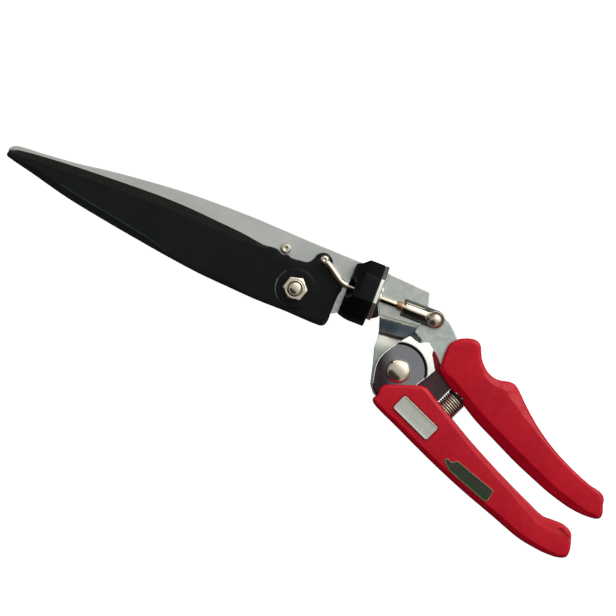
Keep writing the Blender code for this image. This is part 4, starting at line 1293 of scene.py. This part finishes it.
# x, y, corner radius
CHEEK = [
    (-0.9, 17.5, 1.0), (-4.8, 12.7, 6), (-7.3, 9.0, 6), (-9.4, 5.6, 6), (-10.7, 2.1, 6),
    (-10.9, -1.5, 8), (-10.4, -5.0, 8), (-9.4, -9.3, 6), (-8.2, -12.1, 3), (-5.0, -14.8, 3),
    (-1.0, -16.6, 3), (12.0, -22.0, 3), (26.0, -28.0, 2), (28.0, -22.0, 2), (15.0, -12.5, 4),
    (11.0, -6.0, 3), (10.6, -2.8, 1.0), (16.4, 6.4, 1.0), (15.7, 7.2, 0.8), (12.2, 12.9, 3),
    (12.0, 15.0, 1.5), (8.6, 17.6, 1.2), (7.0, 17.4, 1.0), (4.8, 15.9, 1.5), (2.2, 16.4, 1.5)]


def cheek_top(at):
    """Pressed disc round the rivet, and a raised face that falls outwards."""
    radius = np.hypot(at.x, at.y)
    raised = smooth(12.5, 13.7, radius) * smooth(-8.4, -5.4, slant(at.x, at.y))
    z = cheek_high - 0.85 * (1 - raised)
    z = z - 0.16 * np.maximum(radius - 13.9, 0) * smooth(13.7, 14.7, radius)
    z = z - 0.010 * np.maximum(12.2 - radius, 0)
    return (np.maximum(z, cheek_low + 0.5) - edge_round(at.edge, 0.30)
            - edge_round(at.hole, 0.2))


def cheek_slot(at):
    """Slot 1 is the painted highlight along the edge."""
    left = (slant(at.x, at.y) < 1.0) & (at.y > -9.5)
    right = (at.x > 7.0) & (at.y < 4.0)
    return ((at.edge < 0.36) & (left | right)).astype(int)


cheek = field("near_cheek_plate_vis", fillet(CHEEK, 1.0), cheek_top,
              lower_face(cheek_low, 0.12, 0.1), "cheek edge", face_slot=cheek_slot,
              holes=[circle((0, 0), 3.15, 40)], rows=(0.08, 0.2, 0.34, 0.7), grid=1.3,
              lines=[circle((0, 0), radius, 96) for radius in (
                  12.2, 12.4, 12.55, 12.75, 13.0, 13.25, 13.5, 13.7, 14.0, 14.5)], angle=40)
place(cheek, "frame", "bright_plate", "near_cheek_plate")

# ================================================================= main rivet
rivet_high = span("main_rivet")[1].z
rivet_shank = rounded([(3.6, 0.0), (4.6, 0.0), (5.0, 0.3), (5.0, 1.5), (4.8, 1.7),
                       (3.0, 1.75), (3.0, 8.0)], 0.15)
rivet_head = [(5.35, 8.02), (5.7, 8.2), (5.8, 8.5)] + [
    (5.82 * math.cos(t) ** 0.82, 8.6 + (rivet_high - 8.6) * math.sin(t))
    for t in map(math.radians, range(10, 88, 7))] + [(0.15, rivet_high)]
rivet = revolve("main_rivet_vis", rivet_shank + rivet_head, "nickel", sides=72)
place(rivet, "frame", "nickel", "main_rivet")

# ================================================================ lever plate
# x, y, corner radius where it is not 4
LEVER_PLATE = [
    (2.9, 25.4), (2.7, 28.4), (3.5, 31.2), (5.6, 32.8), (8.6, 33.0), (11.2, 31.6),
    (14.6, 29.8), (18.1, 26.8), (21.0, 23.6), (26.0, 20.5), (32.0, 14.0), (40.0, 8.5),
    (57.0, 2.0), (79.0, -13.0), (99.0, -22.6), (97.0, -26.6), (78.0, -20.0),
    (55.0, -9.0), (42.0, -2.6), (35.5, 2.6), (26.6, 2.6, 0.5), (25.72, 0.2, 0.4),
    (23.62, -4.6, 0.4), (22.75, -6.6, 0.4), (18.5, -8.0, 2), (10.0, -8.6), (3.5, -9.4),
    (-3.0, -9.0), (-7.6, -5.6), (-9.4, 0.0), (-7.8, 5.4), (-3.2, 9.4), (1.6, 13.0, 2.0),
    (5.2, 16.2, 0.6), (4.8, 17.4, 0.5), (0.3, 19.8, 0.6), (1.0, 23.3, 1.5)]
low, high = span("lever_plate")
lever = field("lever_plate_vis", fillet(LEVER_PLATE, 4.0, 0.8),
              upper_face(high.z, 0.28, 0.15), lower_face(low.z, 0.15, 0.1), "lever",
              holes=[circle((0, 0), 4.5, 44), circle(BALL, 1.6, 28)],
              rows=(0.08, 0.28, 0.7), grid=3)
place(lever, "lever", "lever_steel", "lever_plate")

# ======================================================================= grips
grip_low, grip_high = (corner.z for corner in span("upper_grip"))
SPRING = Vector((29.1, -5.5, 5.4))
SPRING_AXIS = Vector((0.407, 0.914, 0.0)).normalized()
BADGE = centre("badge_plate")
BADGE_RECT = (BADGE.x, BADGE.y, 22.0, 8.3, 1.3, -23.7)
# the floor of this recess is coloured darker red as painted shade
SLOT_RECT = (99.6, -43.7, 6.3, 2.5, 0.5, -23.9)    # recess in the end of the lower grip

# x, y, width and depth of the slope along the rim
UPPER_GRIP = [
    (18.2, 7.0, 2.2, 1.2), (17.5, 12.5, 1.2, 0.8), (17.4, 17.0, 1.2, 0.8), (18.2, 20.8, 1.3, 0.8),
    (20.6, 23.6, 1.5, 0.9), (24.0, 25.6, 1.8, 1.0), (27.4, 26.6, 1.9, 1.1), (30.2, 26.3, 1.7, 1.1),
    (32.0, 24.8, 1.5, 1.0), (33.2, 22.2, 1.5, 1.0), (34.9, 19.0, 1.5, 1.0), (37.2, 16.4, 1.8, 1.1),
    (40.0, 14.3, 2.2, 1.3), (43.4, 13.1, 2.9, 1.5), (47.0, 13.1, 3.5, 1.9), (50.4, 13.9, 4.6, 2.3),
    (53.2, 13.8, 5.5, 2.7), (56.0, 12.0, 5.7, 2.8), (62.4, 5.9, 3.8, 2.2), (70.9, -1.2, 2.1, 1.5),
    (81.2, -8.0, 1.4, 1.1), (93.6, -14.1, 1.2, 0.9), (103.6, -17.9, 1.0, 0.8),
    (108.6, -19.0, 1.5, 0.9), (111.4, -21.0, 2.0, 1.2), (112.4, -24.6, 1.3, 0.9),
    (113.6, -28.6, 1.2, 0.9), (112.6, -31.2, 1.4, 0.9), (107.3, -32.1, 2.4, 1.3),
    (101.1, -31.8, 3.3, 1.7), (95.2, -30.7, 3.8, 2.0), (86.5, -28.2, 4.2, 2.3),
    (78.3, -25.1, 4.5, 2.4), (67.1, -20.6, 4.7, 2.5), (53.5, -14.2, 4.6, 2.5),
    (43.0, -9.2, 4.4, 2.4), (34.7, -4.3, 4.2, 2.3), (24.8, 1.8, 3.8, 2.1)]
LOWER_GRIP = [
    (-5.4, -11.6, 1.2, 0.8), (-4.4, -9.0, 1.2, 0.8), (-1.4, -7.4, 1.3, 0.9), (6.0, -4.8, 1.4, 0.9),
    (13.0, -2.5, 1.6, 1.0), (16.0, -3.0, 1.7, 1.1), (22.0, -6.6, 1.8, 1.2), (32.0, -12.1, 2.0, 1.0),
    (43.5, -18.6, 2.2, 1.0), (54.2, -24.1, 2.4, 1.05), (65.9, -29.8, 2.6, 1.15),
    (78.3, -35.4, 3.5, 1.35), (88.0, -39.4, 4.4, 1.4), (93.8, -39.5, 5.2, 1.35),
    (99.0, -39.8, 5.2, 1.5), (102.6, -41.6, 3.0, 1.1), (104.2, -45.0, 1.5, 0.9),
    (105.4, -50.0, 1.2, 0.8), (104.8, -53.4, 1.3, 0.9), (101.6, -54.9, 1.5, 1.0),
    (97.7, -55.3, 1.9, 1.2), (91.2, -55.0, 2.3, 1.4), (80.4, -53.1, 2.6, 1.6),
    (66.5, -48.2, 2.6, 1.6), (48.6, -41.9, 2.4, 1.5), (33.4, -35.9, 2.2, 1.4),
    (19.6, -29.9, 2.1, 1.4), (7.9, -24.6, 2.0, 1.3), (-2.6, -20.0, 1.8, 1.2),
    (-5.8, -18.0, 1.4, 0.9), (-6.4, -16.2, 1.2, 0.8), (-5.4, -14.4, 1.2, 0.8)]
# share of height, inset; the inset pair is a fine groove at half height
GRIP_WALL = ((0.30, 0.0), (0.47, 0.0), (0.49, 0.10), (0.51, 0.10), (0.53, 0.0), (0.70, 0.0))


def at_spring(distance):
    return SPRING + SPRING_AXIS * distance


def spring_bore(start, length):
    return revolve("tool", [(5.4, 0), (5.4, length)], "block", at_spring(start),
                   SPRING_AXIS, 40)


def grip(name, table, marks=(), sunk=lambda at: 0.0):
    """Grip shell; sunk is how far its upper face is let in."""
    outline, rim_width, rim_depth = spline(table, 0.85)

    def shape(at):
        width, depth = along(rim_width, at.place), along(rim_depth, at.place)
        share = at.edge / width
        rim = depth * soft(1 - share, 0.20) + edge_round(at.edge, 0.9) * 0.9
        return rim + (0.22 * np.exp(-np.maximum(at.edge - width, 0) / 2.4)
                      * smooth(0.0, 1.0, share))

    return field(name, outline, lambda at: grip_high - shape(at) - sunk(at),
                 lambda at: grip_low + shape(at), "red slot",
                 face_slot=lambda at: (rect_distance(at, SLOT_RECT) < -0.05).astype(int),
                 rows=(0.05, 0.16, 0.35, 0.6, 0.9), width=rim_width,
                 ratios=(0.3, 0.6, 0.82, 0.9, 0.96, 1.03, 1.1, 1.22, 1.6),
                 lines=marks, grid=2.4, wall=GRIP_WALL, angle=48)


upper = grip("upper_grip_vis", UPPER_GRIP)
merge(upper, spring_bore(2.6, 2.7), angle=48)
# sunk tongue of the upper grip, darker red as painted shade
tongue = field("tongue", fillet([
    (11.3, 13.8, 0.3), (12.8, 14.7, 0.3), (15.9, 11.9, 2.0), (18.4, 8.6, 2.0),
    (20.4, 7.5, 0.2), (20.4, 5.0, 0.2), (16.6, 6.3, 2.0), (14.2, 10.0, 2.0)], 0.3, 0.8),
    upper_face(6.75, 0.15), lower_face(6.10), "recess", rows=(0.06, 0.16), grid=1.5)
place(tongue, "lever", "grip_red", "upper_grip")
place(upper, "lever", "grip_red", "upper_grip")


def lower_sunk(at):
    badge_bed = 0.45 * smooth(0.55, 0.3, rect_distance(at, BADGE_RECT))
    return badge_bed + 0.5 * smooth(0.02, -0.32, rect_distance(at, SLOT_RECT))


marks = [rounded_rect(BADGE_RECT, grow, 8, 0.7) for grow in (-0.15, 0.05, 0.35, 0.55)]
marks += [rounded_rect(SLOT_RECT, grow, 5, 0.5) for grow in (-0.35, -0.18, 0.0, 0.15)]
lower = grip("lower_grip_vis", LOWER_GRIP, marks, lower_sunk)
merge(lower, spring_bore(-5.8, 3.2),
      prism([(-14.0, -13.5), (11.5, -13.5), (19.0, -10.2), (25.5, -6.6), (27.0, 6.0),
             (-14.0, 6.0)], 2.5, 7.5), angle=48)
place(lower, "frame", "grip_red", "lower_grip")

# ================================================== spring seats and the spring
for node, body, profile in (
        ("spring_seat_lower", "frame", [
            (0.9, -9.1), (1.4, -8.8), (1.4, -5.7), (3.6, -5.6), (4.0, -5.4), (4.0, -1.2),
            (3.5, -0.5), (0.4, -0.4)]),
        ("spring_seat_upper", "lever", [
            (0.4, 0.4), (3.5, 0.5), (4.0, 1.2), (4.0, 4.75), (5.15, 4.75), (5.2, 3.5),
            (5.3, 3.5), (5.3, 5.05), (3.6, 5.05), (1.4, 5.1), (1.4, 7.0), (0.9, 7.3)])):
    # dark seats, so that the gaps between the coils show painted shade
    seat = revolve(node + "_vis", rounded(profile, 0.15), "shade_dark", SPRING, SPRING_AXIS, 40)
    place(seat, body, "nickel", node)

COIL_RADIUS, WIRE_RADIUS = 4.6, 0.48
COIL_START, COIL_END = -5.05, 4.55
TURNS, TURN_STEPS = 9, 40
END_TURN, END_RISE = 0.85, 0.55     # the end turns lie nearly flat
beside = SPRING_AXIS.cross(Vector(UP))
path = []
for i in range(TURNS * TURN_STEPS + 1):
    turn = i / (TURNS * TURN_STEPS) * TURNS
    if turn < END_TURN:
        rise = COIL_START + END_RISE * (turn / END_TURN) ** 2
    elif turn > TURNS - END_TURN:
        rise = COIL_END - END_RISE * ((TURNS - turn) / END_TURN) ** 2
    else:
        rise = (COIL_START + END_RISE + (COIL_END - COIL_START - 2 * END_RISE)
                * (turn - END_TURN) / (TURNS - 2 * END_TURN))
    angle = 2 * math.pi * turn + 0.6
    path.append(at_spring(rise) + beside * (COIL_RADIUS * math.cos(angle))
                + Vector(UP) * (COIL_RADIUS * math.sin(angle)))
spring = sweep("return_spring_vis", path, [WIRE_RADIUS] * len(path), "spring", 14)
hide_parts("return_spring")
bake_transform(spring)

# ============================================================= badge and label
badge_low, badge_high = (corner.z for corner in span("badge_plate"))


def badge_top(at):
    return badge_high - edge_round(at.edge, 0.14) - 0.05 * smooth(0.45, 0.95, at.edge)


badge = field("badge_plate_vis", rounded_rect(BADGE_RECT, 0, 8, 0.7), badge_top,
              lower_face(badge_low), "badge", rows=(0.06, 0.14, 0.24, 0.5, 0.62, 0.78, 0.95),
              grid=1.6, angle=30)
place(badge, "frame", "badge_silver", "badge_plate")

LABEL = centre("name_label")
LABEL_COS, LABEL_SIN = math.cos(math.radians(-19.5)), math.sin(math.radians(-19.5))
# along and across the label from its centre, corner radius
LABEL_SHAPE = [(-14.0, -0.9, 0.4), (-13.4, 0.9, 0.4), (-10.6, 0.5, 0.8), (-8.8, 3.0, 0.9),
               (13.2, 3.3, 0.7), (14.0, -2.0, 0.6), (12.8, -3.3, 0.6), (-9.0, -3.0, 2.0)]
label_loop = fillet([(LABEL.x + x * LABEL_COS - y * LABEL_SIN,
                      LABEL.y + x * LABEL_SIN + y * LABEL_COS, radius)
                     for x, y, radius in LABEL_SHAPE], 0.5)


def label_slot(at):
    """Slots are 0 green print, 1 border line, 2 upper field."""
    across = -(at.x - LABEL.x) * LABEL_SIN + (at.y - LABEL.y) * LABEL_COS
    slot = np.zeros(len(at.x), int)
    slot[(across > -0.9) & (at.edge > 0.3)] = 2
    slot[at.edge < 0.28] = 1
    return slot


low, high = span("name_label")
label = field("name_label_vis", label_loop, upper_face(high.z, 0.08), lower_face(low.z),
              "label label_line label_field", rows=(0.05, 0.16, 0.28, 0.30, 0.6), grid=0.55,
              face_slot=label_slot, angle=30)
place(label, "frame", "label_green", "name_label")

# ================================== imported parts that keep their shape
CARRIED = {"core_rivet": "zinc", "pivot_bush": "bronze", "tang_pin_front": "pin",
           "tang_pin_rear": "pin", "detent_ball": "nickel", "detent_spring": "spring"}
for node, finish in CARRIED.items():
    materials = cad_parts[node].data.materials
    materials.clear()
    materials.append(FINISH[finish])


# ============================================================== stage, in metres
def make_floor():
    """Floor that the camera sees nearly white and the product sees dark."""
    half, z = 3.0, CAD_BOX[0].z - 0.0006
    mesh = bpy.data.meshes.new("studio_floor")
    mesh.from_pydata([(-half, -half, z), (half, -half, z), (half, half, z), (-half, half, z)],
                     [], [(0, 1, 2, 3)])
    floor = bpy.data.objects.new("studio_floor", mesh)
    bpy.context.scene.collection.objects.link(floor)
    material = bpy.data.materials.new("floor_paper")
    material.use_nodes = True
    tree = material.node_tree
    tree.nodes.clear()
    paper = add_node(tree, "ShaderNodeBsdfDiffuse", {"Color": (0.25, 0.25, 0.25, 1)})
    glow = add_node(tree, "ShaderNodeEmission", {"Color": (1, 1, 1, 1), "Strength": 0.97})
    seen = add_node(tree, "ShaderNodeAddShader", {0: paper.outputs[0], 1: glow.outputs[0]})
    dark = add_node(tree, "ShaderNodeBsdfDiffuse", {"Color": (0.07, 0.07, 0.07, 1)})
    split_by_camera(tree, dark, seen, "ShaderNodeOutputMaterial")
    mesh.materials.append(material)
    floor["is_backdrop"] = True


def split_by_camera(tree, unseen, seen, output):
    """Show one shader to camera rays and the other to all other rays."""
    rays = add_node(tree, "ShaderNodeLightPath")
    mix = add_node(tree, "ShaderNodeMixShader", {
        "Fac": rays.outputs["Is Camera Ray"], 1: unseen.outputs[0], 2: seen.outputs[0]})
    add_node(tree, output, {"Surface": mix.outputs[0]})


# Bright and dark lobes of the sky: direction, inner and outer angle, colour
LOBES = [
    ((0, 0, 1), 35, 85, (0.50, 0.51, 0.50, 1)),
    ((0.36, 0.80, 0.48), 12, 66, (1.55, 1.52, 1.46, 1)),
    ((0.36, 0.80, 0.48), 4, 22, (4.0, 3.9, 3.7, 1)),
    ((-0.29, -0.72, 0.63), 33, 48, (0.05, 0.035, 0.03, 1))]


def make_world():
    world = bpy.data.worlds.new("studio")
    bpy.context.scene.world = world
    world.use_nodes = True
    tree = world.node_tree
    tree.nodes.clear()
    ray = add_node(tree, "ShaderNodeTexCoord").outputs["Generated"]
    sky = (0.24, 0.24, 0.24, 1)
    for direction, inner, outer, colour in LOBES:
        dot = add_node(tree, "ShaderNodeVectorMath", {0: ray, 1: Vector(direction).normalized()},
                       operation="DOT_PRODUCT")
        lobe = add_node(tree, "ShaderNodeMapRange", {
            "Value": dot.outputs["Value"], "From Min": math.cos(math.radians(outer)),
            "From Max": math.cos(math.radians(inner))}, interpolation_type="SMOOTHSTEP")
        sky = add_node(tree, "ShaderNodeMixRGB", {
            "Fac": lobe.outputs["Result"], "Color1": sky, "Color2": colour}).outputs["Color"]
    plain = add_node(tree, "ShaderNodeBackground", {"Color": (0.93, 0.93, 0.93, 1)})
    lit = add_node(tree, "ShaderNodeBackground", {"Color": sky})
    split_by_camera(tree, lit, plain, "ShaderNodeOutputWorld")


def area_light(name, location, size, power, colour):
    light = bpy.data.lights.new(name, "AREA")
    light.shape = "SQUARE"
    light.size = size
    light.energy = power
    light.color = colour
    lamp = bpy.data.objects.new(name, light)
    lamp.location = location
    aim = Vector((-0.04, 0.01, 0.0)) - Vector(location)
    lamp.rotation_euler = aim.to_track_quat("-Z", "Y").to_euler()
    bpy.context.scene.collection.objects.link(lamp)
    lamp.visible_glossy = False


make_floor()
make_world()
area_light("key", location=(0.30, 0.74, 0.62), size=0.55, power=7.0, colour=(1.0, 0.985, 0.96))
area_light("fill", location=(-0.60, 0.10, 0.85), size=0.60, power=1.0, colour=(0.96, 0.98, 1.0))

# ====================================================================== camera
VIEW_WIDTH, VIEW_DISTANCE, SENSOR = 0.28952, 2.0, 36.0
lens = bpy.data.cameras.new("camera")
lens.type = "PERSP"
lens.sensor_width = SENSOR
lens.lens = SENSOR * VIEW_DISTANCE / VIEW_WIDTH
lens.clip_start = 0.05
lens.clip_end = 20.0
camera = bpy.data.objects.new("camera", lens)
camera.location = (-0.0503, 0.0124, VIEW_DISTANCE + 0.010)
camera.rotation_euler = (0.0, 0.0, math.radians(21.0))
scene = bpy.context.scene
scene.collection.objects.link(camera)
scene.camera = camera
scene.view_settings.view_transform = "Standard"
scene.view_settings.look = "None"

low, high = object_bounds()
